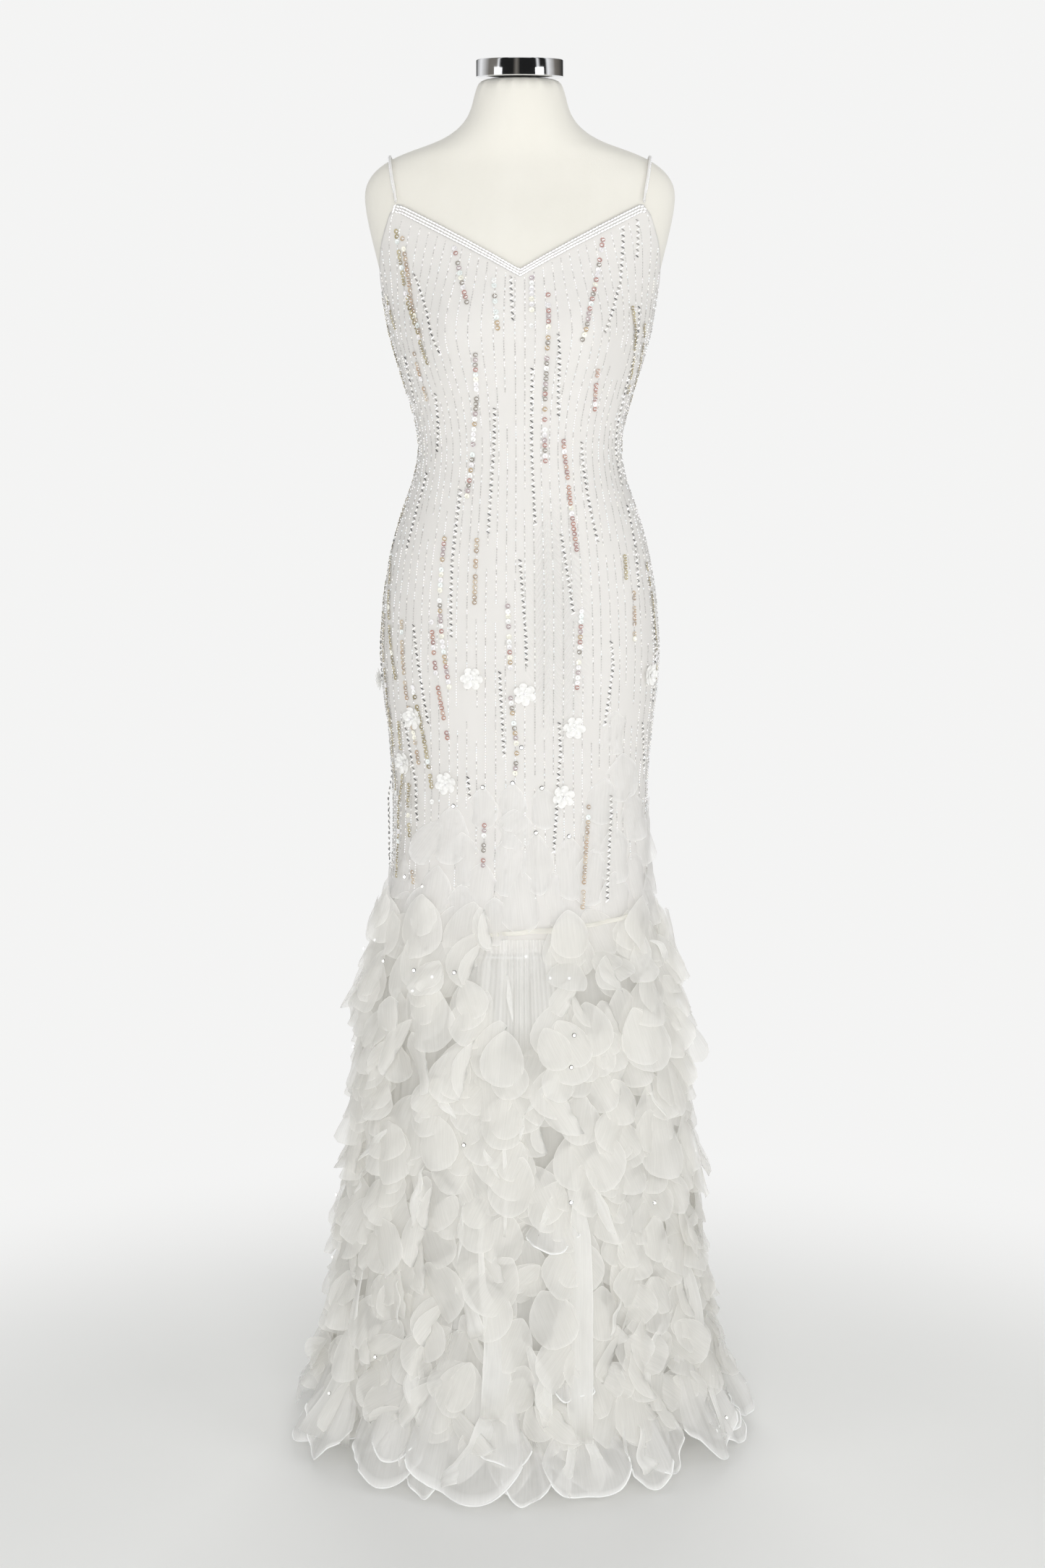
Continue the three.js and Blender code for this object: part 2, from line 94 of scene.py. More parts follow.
# %% Directions and heights of the table
DIRECTIONS = 240
HEIGHT_STEP = 0.007
TURN_STEP = 2 * math.pi / DIRECTIONS
FAR = 0.6
MEASURED_Z = 1.1
MERGE = 1e-5
NUDGES = (0, 0.008, -0.008)
SEAM_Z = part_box("sheath_front")[0].z
FORM_FOOT_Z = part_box("form_body")[0].z
FORM_TOP_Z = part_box("form_body")[1].z
SKIRT_NODES = ["skirt_front", "skirt_back"]
SHEATH_NODES = ["sheath_front", "sheath_back_left", "sheath_back_right"]


def tree_of(names):
    """A search tree of some of the solids, with their loose triangles merged."""
    shape = bmesh.new()
    for name in names:
        shape.from_mesh(nodes[name].data)
    bmesh.ops.remove_doubles(shape, verts=shape.verts, dist=MERGE)
    tree = BVHTree.FromBMesh(shape)
    shape.free()
    return tree


def radius_from(tree, turn, height):
    """How far the outermost face is from the upright axis. A ray that slips through a seam is nudged."""
    for nudge in NUDGES:
        outward = Vector((math.sin(turn + nudge), -math.cos(turn + nudge), 0))
        found = tree.ray_cast(outward * FAR + Vector((0, 0, height)), -outward, FAR)
        if found[0] is not None:
            return FAR - found[3]
    return None


form_tree = tree_of(["form_body"])
sheath_tree = tree_of(SHEATH_NODES)
skirt_tree = tree_of(SKIRT_NODES)
OVER_FORM = radius_from(sheath_tree, 0, MEASURED_Z) - radius_from(form_tree, 0, MEASURED_Z)
print("the sheath's face stands", round(OVER_FORM * 1000, 2), "mm off the form")


# %% The table of radii
def rounded(radii, times):
    """The table with each radius averaged with its neighbours, some number of times."""
    for _ in range(times):
        radii = (np.roll(radii, 1, 1) + 2 * radii + np.roll(radii, -1, 1)) / 4
        above = np.vstack([radii[1:], radii[-1:]])
        below = np.vstack([radii[:1], radii[:-1]])
        radii = (above + 2 * radii + below) / 4
    return radii


def unit(vectors):
    """The vectors, each made a metre long."""
    return vectors / np.maximum(np.linalg.norm(vectors, axis=-1, keepdims=True), 1e-12)


def lengths_along(points):
    """How far each point is from the first, measured along the line that they make."""
    return np.concatenate([[0], np.cumsum(np.linalg.norm(np.diff(points, axis=0), axis=1))])


# %% A surface to sew on
TURN_REACH, HEIGHT_REACH = 0.03, 0.006


class Surface:
    """A smooth surface round the upright axis."""

    def __init__(self, radii):
        self.radii = radii

    def radius(self, turn, height):
        column = np.asarray(turn, float) / TURN_STEP
        row = np.clip(np.asarray(height, float) / HEIGHT_STEP, 0, len(self.radii) - 1.001)
        left, low = np.floor(column).astype(int), np.floor(row).astype(int)
        across, up = column - left, row - low
        left, right = left % DIRECTIONS, (left + 1) % DIRECTIONS
        lower = self.radii[low, left] * (1 - across) + self.radii[low, right] * across
        upper = self.radii[low + 1, left] * (1 - across) + self.radii[low + 1, right] * across
        return lower * (1 - up) + upper * up

    def at(self, turn, height):
        radius = self.radius(turn, height)
        return np.stack([radius * np.sin(turn), -radius * np.cos(turn), height + 0 * radius], -1)

    def seat(self, turn, height, out=0.0):
        """Places on the surface, moved out, with the directions round, up and out at each."""
        turn, height = np.asarray(turn, float), np.asarray(height, float)
        side = unit(self.at(turn + TURN_REACH, height) - self.at(turn - TURN_REACH, height))
        up = unit(self.at(turn, height + HEIGHT_REACH) - self.at(turn, height - HEIGHT_REACH))
        normal = unit(np.cross(side, up))
        up = np.cross(normal, side)
        place = self.at(turn, height) + normal * np.asarray(out, float)[..., None]
        return place, side, up, normal


# %% Filling the table
turns = np.arange(DIRECTIONS) * TURN_STEP
heights = np.arange(0, FORM_TOP_Z, HEIGHT_STEP)
figure_radii = np.zeros((len(heights), DIRECTIONS))
skirt_radii = np.zeros((len(heights), DIRECTIONS))
for row in range(len(heights) - 1, -1, -1):
    for column, turn in enumerate(turns):
        height = heights[row]
        skirt_height = min(height, SEAM_Z - 0.001)
        if height > FORM_FOOT_Z + 0.001:
            figure_radii[row, column] = radius_from(form_tree, turn, height)
        elif height > SEAM_Z:
            figure_radii[row, column] = radius_from(sheath_tree, turn, height) - OVER_FORM
        else:
            figure_radii[row, column] = figure_radii[row + 1, column]
            found = radius_from(skirt_tree, turn, skirt_height)
            skirt_radii[row, column] = found if found else skirt_radii[row + 1, column]
figure_radii = rounded(figure_radii, 3)
is_skirt = heights <= SEAM_Z
gown_radii = np.where(is_skirt[:, None], skirt_radii, figure_radii + OVER_FORM)
gown_radii[is_skirt] = rounded(gown_radii, 2)[is_skirt]

WINDOW = 11
crest_radii = np.max([np.roll(gown_radii, k, 1) for k in range(-WINDOW, WINDOW + 1)], axis=0)
crest_radii = np.where(is_skirt[:, None], rounded(crest_radii, 6), gown_radii)

figure = Surface(figure_radii)
gown = Surface(gown_radii)
crests = Surface(crest_radii)
print("table:", gown_radii.shape, "hem reaches", round(float(gown_radii[2].max()), 3), "m")


# %% The sheath's top edge and the skirt's hem
ON_SHEATH_Z, ABOVE_SHEATH_Z = 1.3, 1.56
ON_SKIRT_Z, BELOW_SKIRT_Z = 0.1, -0.01
HALVINGS = 14


def edge_height(tree, turn, inside, outside):
    """The height between two at which rays stop meeting the solid."""
    for _ in range(HALVINGS):
        middle = (inside + outside) / 2
        if radius_from(tree, turn, middle) is None:
            outside = middle
        else:
            inside = middle
    return inside


top_edge = np.array([edge_height(sheath_tree, turn, ON_SHEATH_Z, ABOVE_SHEATH_Z) for turn in turns])
hem_edge = np.array([edge_height(skirt_tree, turn, ON_SKIRT_Z, BELOW_SKIRT_Z) for turn in turns])
closed_turns = np.append(turns, 2 * math.pi)


def top_at(turn):
    """The height of the sheath's top edge in a direction."""
    return np.interp(np.mod(turn, 2 * math.pi), closed_turns, np.append(top_edge, top_edge[0]))


def hem_at(turn):
    """The height of the skirt's hem in a direction."""
    return np.interp(np.mod(turn, 2 * math.pi), closed_turns, np.append(hem_edge, hem_edge[0]))


print("V of the neckline at", round(float(top_edge[0]), 3), "m")

# %% What a pixel of the photograph shows
LIFTS = range(0, 130, 6)
gown_tree = tree_of(SHEATH_NODES + SKIRT_NODES + ["form_body"])


def seen_at(across, down):
    """The turn and height of what the camera sees at a pixel. Under the hem it looks a little higher,
    and past the side it takes the nearest place to the axis."""
    for lift in LIFTS:
        ray = pixel_ray(across, down - lift)
        place = gown_tree.ray_cast(CAMERA_PLACE, ray)[0]
        if place is not None:
            break
    else:
        ray = pixel_ray(across, down)
        nearest = -(CAMERA_PLACE.x * ray.x + CAMERA_PLACE.y * ray.y) / (ray.x**2 + ray.y**2)
        place = CAMERA_PLACE + ray * nearest
    return math.atan2(place.x, -place.y), place.z


middle_z = seen_at(PHOTO_WIDTH / 2, PHOTO_HEIGHT / 2)[1]
print("the middle of the photograph shows a height of", round(middle_z, 3), "m")

# %% [markdown]
# ## Writing shader maths as Python
# A material is a small graph of nodes. Adding each Math node by hand hides the sum that it makes, so a
# `Wire` wraps one socket and lets Python's own operators add the nodes. Every other node comes from one
# method, which takes its type, its settings and what feeds its sockets.


# %% A wire
class Wire:
    """One socket of a material, with arithmetic."""

    def __init__(self, finish, socket):
        self.finish = finish
        self.socket = socket

    def joined(self, operation, first, second):
        return self.finish.node("ShaderNodeMath", {"operation": operation}, {0: first, 1: second})

    def __add__(self, other):
        return self.joined("ADD", self, other)

    def __radd__(self, other):
        return self.joined("ADD", other, self)

    def __sub__(self, other):
        return self.joined("SUBTRACT", self, other)

    def __rsub__(self, other):
        return self.joined("SUBTRACT", other, self)

    def __mul__(self, other):
        return self.joined("MULTIPLY", self, other)

    def __rmul__(self, other):
        return self.joined("MULTIPLY", other, self)

    def __pow__(self, other):
        return self.joined("POWER", self, other)


# %% A finish
class Finish:
    """A material under construction, with its Principled shader."""

    def __init__(self, name, **constants):
        self.material = bpy.data.materials.new(name)
        self.material.use_nodes = True
        self.tree = self.material.node_tree
        self.shader = self.tree.nodes["Principled BSDF"]
        for socket, value in constants.items():
            self.shader.inputs[socket.replace("_", " ")].default_value = value

    def node(self, kind, settings=None, sockets=None, output=0):
        """Adds a node, with settings by name and wires or constants by socket, and gives one output."""
        made = self.tree.nodes.new(kind)
        for key, value in (settings or {}).items():
            if key == "stops":
                ramp = made.color_ramp
                while len(ramp.elements) < len(value):
                    ramp.elements.new(0.5)
                for element, (position, colour) in zip(ramp.elements, value):
                    element.position = position
                    element.color = colour
            else:
                setattr(made, key, value)
        for key, value in (sockets or {}).items():
            self.feed(made.inputs[key], value)
        return Wire(self, made.outputs[output])

    def feed(self, socket, value):
        if isinstance(value, Wire):
            self.tree.links.new(value.socket, socket)
        else:
            socket.default_value = value

    def set(self, socket, value):
        self.feed(self.shader.inputs[socket], value)
        return self

    def object_place(self):
        return self.node("ShaderNodeTexCoord", output=3)

    def flat_place(self):
        return self.node("ShaderNodeUVMap", {"uv_map": "flat"})

    def attribute(self, name, output=0):
        return self.node("ShaderNodeAttribute", {"attribute_name": name}, output=output)

    def noise(self, place, stretch, detail=2.0):
        """Noise whose scale along each axis is set by stretch, in repeats a metre."""
        scaled = self.node("ShaderNodeMapping", {}, {"Vector": place, "Scale": stretch})
        return self.node("ShaderNodeTexNoise", {}, {"Vector": scaled, "Scale": 1.0, "Detail": detail})

    def blend(self, share, first, second):
        """A colour between two, by a share from 0 to 1."""
        colours = {0: share, 6: first, 7: second}
        return self.node("ShaderNodeMix", {"data_type": "RGBA"}, colours, output=2)

    def mix_in(self, other, share):
        """Shows a share of another shader through the Principled one."""
        output = self.tree.nodes["Material Output"].inputs["Surface"]
        principled = Wire(self, self.shader.outputs[0])
        self.feed(output, self.node("ShaderNodeMixShader", {}, {0: share, 1: principled, 2: other}))

    def bump(self, height, strength, distance):
        relief = {"Height": height, "Strength": strength, "Distance": distance}
        return self.set("Normal", self.node("ShaderNodeBump", {}, relief))


# %% [markdown]
# ## The finishes
# Whites differ more than they seem to. The jersey of the form is warm and chalky, the lined mesh of the
# sheath is a cooler white with a fine net in it, and the organza is half clear, brighter where it is
# doubled or sealed at an edge. Each one is white paint plus its own threads.


# %% Jersey of the form
def knitted_jersey():
    """Cream jersey: fine loops, and a slight change of colour."""
    finish = Finish("knitted_jersey", Roughness=0.9, Sheen_Weight=0.25, Sheen_Roughness=0.5)
    place = finish.object_place()
    loops = finish.noise(place, (900, 900, 420), 1.0)
    slub = finish.noise(place, (24, 24, 12), 3.0)
    finish.set("Base Color", finish.blend(slub, (0.72, 0.70, 0.635, 1), (0.775, 0.755, 0.695, 1)))
    finish.bump(loops, 0.25, 0.0006)
    return finish.material


# %% Polished chrome and white enamel
def polished_chrome():
    """Bright metal, a little smeared by handling."""
    finish = Finish("polished_chrome", Metallic=1.0)
    smears = finish.noise(finish.object_place(), (30, 30, 160), 3.0)
    finish.set("Base Color", finish.blend(smears, (0.74, 0.75, 0.77, 1), (0.83, 0.84, 0.86, 1)))
    finish.set("Roughness", 0.05 + smears * 0.06)
    return finish.material


def white_enamel():
    """Sprayed paint, with its slight peel."""
    finish = Finish("white_enamel", Coat_Weight=0.3)
    peel = finish.noise(finish.object_place(), (180, 180, 180), 2.0)
    finish.set("Base Color", finish.blend(peel, (0.84, 0.84, 0.83, 1), (0.88, 0.88, 0.87, 1)))
    finish.set("Roughness", 0.35 + peel * 0.1)
    finish.bump(peel, 0.08, 0.0004)
    return finish.material


# %% Lined mesh of the sheath
COLUMN_WIDTH = 0.021
RIDGES = 760


def lined_mesh():
    """Fine net over a smooth lining. A patch on the wearer's left hip has a herringbone relief."""
    finish = Finish("lined_mesh", Roughness=0.72, Sheen_Weight=0.3, Sheen_Roughness=0.4)
    place = finish.flat_place()
    net = finish.noise(place, (1100, 1100, 1100), 1.0)
    rub = finish.noise(place, (14, 5, 10), 3.0)
    across = finish.node("ShaderNodeSeparateXYZ", {}, {0: place}, output=0)
    up = finish.node("ShaderNodeSeparateXYZ", {}, {0: place}, output=1)
    slope = across.joined("PINGPONG", across, COLUMN_WIDTH)
    ridges = finish.node("ShaderNodeMath", {"operation": "SINE"}, {0: (up + slope) * RIDGES})
    herringbone = ridges * finish.attribute("herringbone", output=2)
    finish.set("Base Color", finish.blend(rub, (0.672, 0.655, 0.63, 1), (0.727, 0.71, 0.684, 1)))
    finish.bump(net * 0.16 + herringbone, 0.5, 0.0012)
    return finish.material


# %% Organza, plain and sealed at its edge
LIGHT_THROUGH = 0.3


def organza(name, dark, light, opaque, edge_gain):
    """Sheer cloth: light passes through it, and it is less clear where the edge attribute is high."""
    finish = Finish(name, Roughness=0.6, Sheen_Weight=0.3, Sheen_Roughness=0.4)
    place = finish.flat_place()
    threads = finish.noise(place, (700, 26, 1), 1.0)
    cloud = finish.noise(place, (22, 16, 1), 2.0)
    edge = finish.attribute("edge", output=2)
    finish.set("Base Color", finish.blend(cloud, dark, light))
    finish.set("Alpha", opaque + threads * 0.16 + cloud * 0.1 + edge * edge_gain)
    finish.bump(threads, 0.12, 0.0004)
    glow = finish.node("ShaderNodeBsdfTranslucent", {}, {"Color": light})
    finish.mix_in(glow, LIGHT_THROUGH)
    return finish.material


# %% Beads, sequins and stones
def small_glass(name, metallic, roughness, coat, glow=0.0):
    """Beads take their colour from the tint that each was given. Where glow is set, the tint also shines as
    emission: a painted glow for highlights on glass.
    """
    finish = Finish(name, Metallic=metallic, Coat_Weight=coat, Emission_Strength=glow)
    speckle = finish.noise(finish.object_place(), (800, 800, 800), 1.0)
    tint = finish.attribute("tint")
    finish.set("Base Color", finish.blend(speckle * 0.2, tint, (0.95, 0.95, 0.95, 1)))
    # Emission in the tint's colour, as strong as glow: a painted glow.
    finish.set("Emission Color", tint)
    finish.set("Roughness", roughness + speckle * 0.1)
    return finish.material


def white_cord(name, dark, light):
    """Twisted thread, in two near whites."""
    finish = Finish(name, Roughness=0.5, Sheen_Weight=0.2)
    twist = finish.noise(finish.object_place(), (500, 500, 500), 2.0)
    finish.set("Base Color", finish.blend(twist, dark, light))
    finish.bump(twist, 0.3, 0.0003)
    return finish.material


# %% Every finish
JERSEY = knitted_jersey()
CHROME = polished_chrome()
ENAMEL = white_enamel()
MESH_CLOTH = lined_mesh()
PETAL_CLOTH = organza("petal_organza", (0.93, 0.922, 0.895, 1), (0.98, 0.972, 0.948, 1), 0.3, 0.32)
SHEER_CLOTH = organza("thigh_organza", (0.92, 0.915, 0.9, 1), (0.98, 0.975, 0.965, 1), 0.28, 0.5)
STRIP_CLOTH = organza("strip_organza", (0.95, 0.945, 0.92, 1), (0.99, 0.985, 0.965, 1), 0.46, 0.4)
TAPE_CLOTH = organza("tape_organza", (0.88, 0.86, 0.78, 1), (0.95, 0.935, 0.88, 1), 0.62, 0.3)
SKIRT_CLOTH = organza("skirt_organza", (0.78, 0.77, 0.74, 1), (0.86, 0.85, 0.82, 1), 0.46, 0.4)
ROSETTE_CLOTH = organza("rosette_organza", (0.95, 0.945, 0.93, 1), (0.99, 0.99, 0.975, 1), 0.86, 0.2)
SEED_GLASS = small_glass("seed_glass", 0.0, 0.15, 0.4)
# The soft, bright and stone glass glow, and the pearl film a little: painted glow standing in for
# highlights.
GLOWING_SEED_GLASS = small_glass("seed_glass_painted_glow", 0.0, 0.15, 0.4, glow=0.18)
GLOWING_GLASS = small_glass("glass_painted_glow", 0.0, 0.1, 0.6, glow=0.28)
GLOWING_STONE_GLASS = small_glass("stone_glass_painted_glow", 0.0, 0.1, 0.6, glow=0.7)
SILVER_GLASS = small_glass("silver_glass", 0.8, 0.12, 0.2)
SEQUIN_FILM = small_glass("sequin_film", 0.15, 0.3, 0.05)
GLOWING_PEARL_FILM = small_glass("pearl_film_painted_glow", 0.25, 0.22, 0.5, glow=0.04)
CORD_WHITE = white_cord("white_cord", (0.88, 0.88, 0.87, 1), (0.96, 0.96, 0.955, 1))
BINDING_CLOTH = white_cord("binding_cloth", (0.5, 0.49, 0.47, 1), (0.6, 0.59, 0.57, 1))
STRAP_CORD = white_cord("strap_cord", (0.7, 0.69, 0.67, 1), (0.8, 0.79, 0.77, 1))
print("finishes:", len(bpy.data.materials))

# %% [markdown]
# ## Turning shapes into pieces
# Three helpers make most of the pieces. `piece` gives a bmesh its name, finish and body. `cloth`
# bends a grid onto a surface: a grid operator makes the faces, and a function says where each point goes.
# `many` copies one small shape to thousands of places in a single mesh, which is how beads stay cheap.


# %% A mesh becomes a piece
def settle(mesh, name, finish, smooth=True):
    """An object for a finished mesh, riding on the body."""
    mesh.materials.append(finish)
    if smooth:
        mesh.shade_smooth()
    made = bpy.data.objects.new(name, mesh)
    scene.collection.objects.link(made)
    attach(made, "root")
    return made


def piece(shape, name, finish, smooth=True):
    """An object made from a bmesh, which is used up."""
    mesh = bpy.data.meshes.new(name)
    shape.to_mesh(mesh)
    shape.free()
    return settle(mesh, name, finish, smooth)


def give(mesh, name, values):
    """Stores a number, or a colour, for each point of a mesh."""
    values = np.asarray(values, np.float32)
    if values.ndim == 1:
        mesh.attributes.new(name, "FLOAT", "POINT").data.foreach_set("value", values)
    else:
        colours = np.column_stack([values, np.ones(len(values), np.float32)])
        mesh.attributes.new(name, "FLOAT_COLOR", "POINT").data.foreach_set("color", colours.ravel())


def flat_map(mesh, flat):
    """A UV map named flat, from each point's place on the cloth before it was sewn."""
    layer = mesh.uv_layers.new(name="flat")
    corners = np.zeros(len(mesh.loops), np.int32)
    mesh.loops.foreach_get("vertex_index", corners)
    layer.data.foreach_set("uv", flat[corners].ravel())


# %% A grid of cloth
def cloth(name, columns, rows, where, finish, flat, marks=None, wall=0.0):
    """A grid of cloth. where takes arrays of shares across and up, and gives the points. flat is the
    cut size, marks gives attributes by name, and wall is how far the cloth goes inwards."""
    shape = bmesh.new()
    bmesh.ops.create_grid(shape, x_segments=columns, y_segments=rows, size=0.5)
    shares = np.array([(v.co.x + 0.5, v.co.y + 0.5) for v in shape.verts])
    for vertex, place in zip(shape.verts, where(shares[:, 0], shares[:, 1])):
        vertex.co = place
    layer = shape.loops.layers.uv.new("flat")
    for face in shape.faces:
        for loop in face.loops:
            share = shares[loop.vert.index]
            loop[layer].uv = (share[0] * flat[0], share[1] * flat[1])
    made = piece(shape, name, finish)
    for mark, values in (marks(shares[:, 0], shares[:, 1]) if marks else {}).items():
        give(made.data, mark, values)
    if wall:
        thicken = made.modifiers.new("thickness", "SOLIDIFY")
        thicken.thickness = wall
        thicken.offset = -1
    return made


# %% Copies of one small shape
def outline_of(shape):
    """The points and triangles of a small bmesh, as arrays."""
    bmesh.ops.triangulate(shape, faces=shape.faces)
    points = np.array([v.co for v in shape.verts])
    faces = np.array([[v.index for v in f.verts] for f in shape.faces])
    shape.free()
    return points, faces


def joined_mesh(name, points, faces, copies):
    """One mesh from an array of copies of a shape's points."""
    count = points.shape[1]
    steps = (np.arange(copies) * count)[:, None, None]
    mesh = bpy.data.meshes.new(name)
    mesh.from_pydata(points.reshape(-1, 3).tolist(), [], (faces[None] + steps).reshape(-1, 3).tolist())
    return mesh


def many(name, shape, seats, finish, tints=None, smooth=True):
    """One piece with a copy of a shape at each seat. seats are the places and their three directions."""
    place, side, up, normal = seats
    points, faces = shape
    axes = np.stack([side, up, normal], -1)
    placed = np.einsum("nij,kj->nki", axes, points) + place[:, None, :]
    mesh = joined_mesh(name, placed, faces, len(place))
    if tints is not None:
        give(mesh, "tint", np.repeat(tints, len(points), 0))
    return settle(mesh, name, finish, smooth)


# %% [markdown]
# ## The dress form
# A display form is padded foam under stretched jersey, so it has no edges at all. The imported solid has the
# right sections but flat faces. A copy of it is merged, its triangles are paired back into four-sided faces,
# and a Subdivision Surface rounds it. The neck cap is a pressed ring, so it is a turned profile with small
# bevels.

# %% Form
PAIRED_FLAT, PAIRED_SQUARE = 0.6, 1.4
ROUNDINGS = 2
form_shape = bmesh.new()
form_shape.from_mesh(nodes["form_body"].data)
bmesh.ops.remove_doubles(form_shape, verts=form_shape.verts, dist=MERGE)
limits = {"angle_face_threshold": PAIRED_FLAT, "angle_shape_threshold": PAIRED_SQUARE}
bmesh.ops.join_triangles(form_shape, faces=form_shape.faces, **limits)
form_cover = piece(form_shape, "form_jersey_cover", JERSEY)
rounding = form_cover.modifiers.new("rounding", "SUBSURF")
rounding.levels = rounding.render_levels = ROUNDINGS
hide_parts("form_body")
print("form:", len(form_cover.data.polygons), "faces before rounding")


# %% Neck cap
SHARP_ANGLE = math.radians(35)


def turned(profile, name, finish, steps=96):
    """A shape of revolution: the profile's points, each a radius and a height, are spun round the axis."""
    shape = bmesh.new()
    line = [shape.verts.new((radius, 0, height)) for radius, height in profile]
    edges = [shape.edges.new(pair) for pair in zip(line, line[1:])]
    spun = {"cent": (0, 0, 0), "axis": (0, 0, 1), "angle": 2 * math.pi, "steps": steps, "use_merge": True}
    bmesh.ops.spin(shape, geom=line + edges, **spun)
    bmesh.ops.remove_doubles(shape, verts=shape.verts, dist=1e-6)
    bmesh.ops.recalc_face_normals(shape, faces=shape.faces)
    made = piece(shape, name, finish)
    made.data.set_sharp_from_angle(angle=SHARP_ANGLE)
    return made


cap_low, cap_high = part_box("form_neck_cap")
cap_radius = cap_high.x
BEVEL = 0.0012
CAP_GAP = 0.0002
cap_profile = [
    (0, cap_low.z + CAP_GAP),
    (cap_radius - BEVEL, cap_low.z + CAP_GAP),
    (cap_radius, cap_low.z + BEVEL),
    (cap_radius, cap_high.z - BEVEL),
    (cap_radius - BEVEL * 0.3, cap_high.z - BEVEL * 0.3),
    (cap_radius - BEVEL, cap_high.z),
    (cap_radius - 3 * BEVEL, cap_high.z),
    (cap_radius - 3.6 * BEVEL, cap_high.z - BEVEL),
    (0, cap_high.z - BEVEL),
]
neck_cap = turned(cap_profile, "neck_cap_ring", CHROME)
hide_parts("form_neck_cap")
print("the neck cap is", round(cap_radius * 2000), "mm across")

# %% Pole and base
base_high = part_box("form_base")[1]
pole_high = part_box("form_pole")[1]
FOOT_BEVEL, EDGE_ROUND = 0.002, 0.005
COLLAR, COLLAR_HEIGHT, COLLAR_TOP = 0.006, 0.02, 0.022
stand_profile = [
    (0, 0),
    (base_high.x - FOOT_BEVEL, 0),
    (base_high.x, FOOT_BEVEL),
    (base_high.x, base_high.z - EDGE_ROUND),
    (base_high.x - 0.0015, base_high.z - 0.002),
    (base_high.x - EDGE_ROUND, base_high.z),
    (pole_high.x + COLLAR, base_high.z),
    (pole_high.x + COLLAR, base_high.z + COLLAR_HEIGHT),
    (pole_high.x, base_high.z + COLLAR_TOP),
    (pole_high.x, pole_high.z),
    (0, pole_high.z),
]
stand = turned(stand_profile, "stand_pole_and_base", ENAMEL)
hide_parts("form_pole", "form_base")
print("the base is", round(base_high.x * 2000), "mm across")

# %% [markdown]
# ## The sheath
# Three panels of lined mesh: one front, and two backs that meet at a concealed zip. Each is a grid bent
# onto the smooth surface, from the knee seam up to the V, the armholes or the scooped back. Its wall goes
# inwards, so the face is exactly where the solid's face is.

# %% Sheath panels
SHEATH_WALL = 0.0015
SEAM_GAP, TOP_GAP = 0.0004, 0.0006
MEAN_RADIUS, PANEL_LENGTH = 0.155, 0.85
PANEL_STEP, PANEL_ROWS = math.radians(1.25), 150
HERRINGBONE_TURN, HERRINGBONE_WIDE = math.radians(24), 0.3
HERRINGBONE_Z, HERRINGBONE_HIGH = 1.03, 0.13
PANELS = [
    # solid, piece, and its two edges in degrees round from the front
    ("sheath_front", "lined_front", -90, 90),
    ("sheath_back_right", "lined_back_right", 90, 180),
    ("sheath_back_left", "lined_back_left", 180, 270),
]


def panel(node, name, start, end):
    """A panel of the sheath between two edges."""
    start, end = math.radians(start), math.radians(end)

    def where(across, up):
        turn = start + (end - start) * across
        low = SEAM_Z + SEAM_GAP
        height = low + (top_at(turn) - TOP_GAP - low) * up
        return figure.seat(turn, height, OVER_FORM)[0]

    def marks(across, up):
        turn = start + (end - start) * across
        height = SEAM_Z + (top_at(turn) - SEAM_Z) * up
        near_turn = ((turn - HERRINGBONE_TURN) / HERRINGBONE_WIDE) ** 2
        near_height = ((height - HERRINGBONE_Z) / HERRINGBONE_HIGH) ** 2
        return {"herringbone": np.exp(-((near_turn + near_height) ** 2))}

    columns = round((end - start) / PANEL_STEP)
    size = (MEAN_RADIUS * (end - start), PANEL_LENGTH)
    made = cloth(name, columns, PANEL_ROWS, where, MESH_CLOTH, size, marks, SHEATH_WALL)
    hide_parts(node)
    return made


panels = [panel(*row) for row in PANELS]
print("sheath panels:", [len(made.data.polygons) for made in panels])

# %% [markdown]
# ## The skirt
# Below the knee the skirt is one sheer layer, gathered into the seam. It opens into deep folds at the
# hem, and its edge is rolled. The grid follows the folds of the solid, and finer gathers are added near the
# seam. The rolled edge is a separate thin cord, because it catches the light as a bright white line. The
# same kind of cord makes the raised seams of the sheath above.


# %% Cords
def cord_piece(name, line, radius, finish, closed=False, sides=6):
    """A thin round cord along a line of points, made with a bevelled curve and turned into a mesh."""
    curve = bpy.data.curves.new(name, "CURVE")
    curve.dimensions = "3D"
    curve.bevel_depth = radius
    curve.bevel_resolution = max(0, sides // 2 - 2)
    curve.use_fill_caps = not closed
    spline = curve.splines.new("POLY")
    spline.points.add(len(line) - 1)
    for point, place in zip(spline.points, line):
        point.co = (*place, 1)
    spline.use_cyclic_u = closed
    drawn = bpy.data.objects.new(name + "_line", curve)
    scene.collection.objects.link(drawn)
    mesh = bpy.data.meshes.new_from_object(drawn.evaluated_get(bpy.context.evaluated_depsgraph_get()))
    bpy.data.objects.remove(drawn)
    bpy.data.curves.remove(curve)
    return settle(mesh, name, finish)


# %% Side seams, centre-back seam and the zip's pull
SEAM_CORD = 0.0005
SEAM_POINTS = 120
for name, degrees in (("side_seam_left", -90), ("side_seam_right", 90), ("centre_back_seam", 180)):
    turn = math.radians(degrees)
    seam_heights = np.linspace(SEAM_Z + 0.002, float(top_at(turn)) - 0.004, SEAM_POINTS)
    line = figure.seat(turn + 0 * seam_heights, seam_heights, OVER_FORM - 0.0001)[0]
    cord_piece(name, line, SEAM_CORD, MESH_CLOTH)

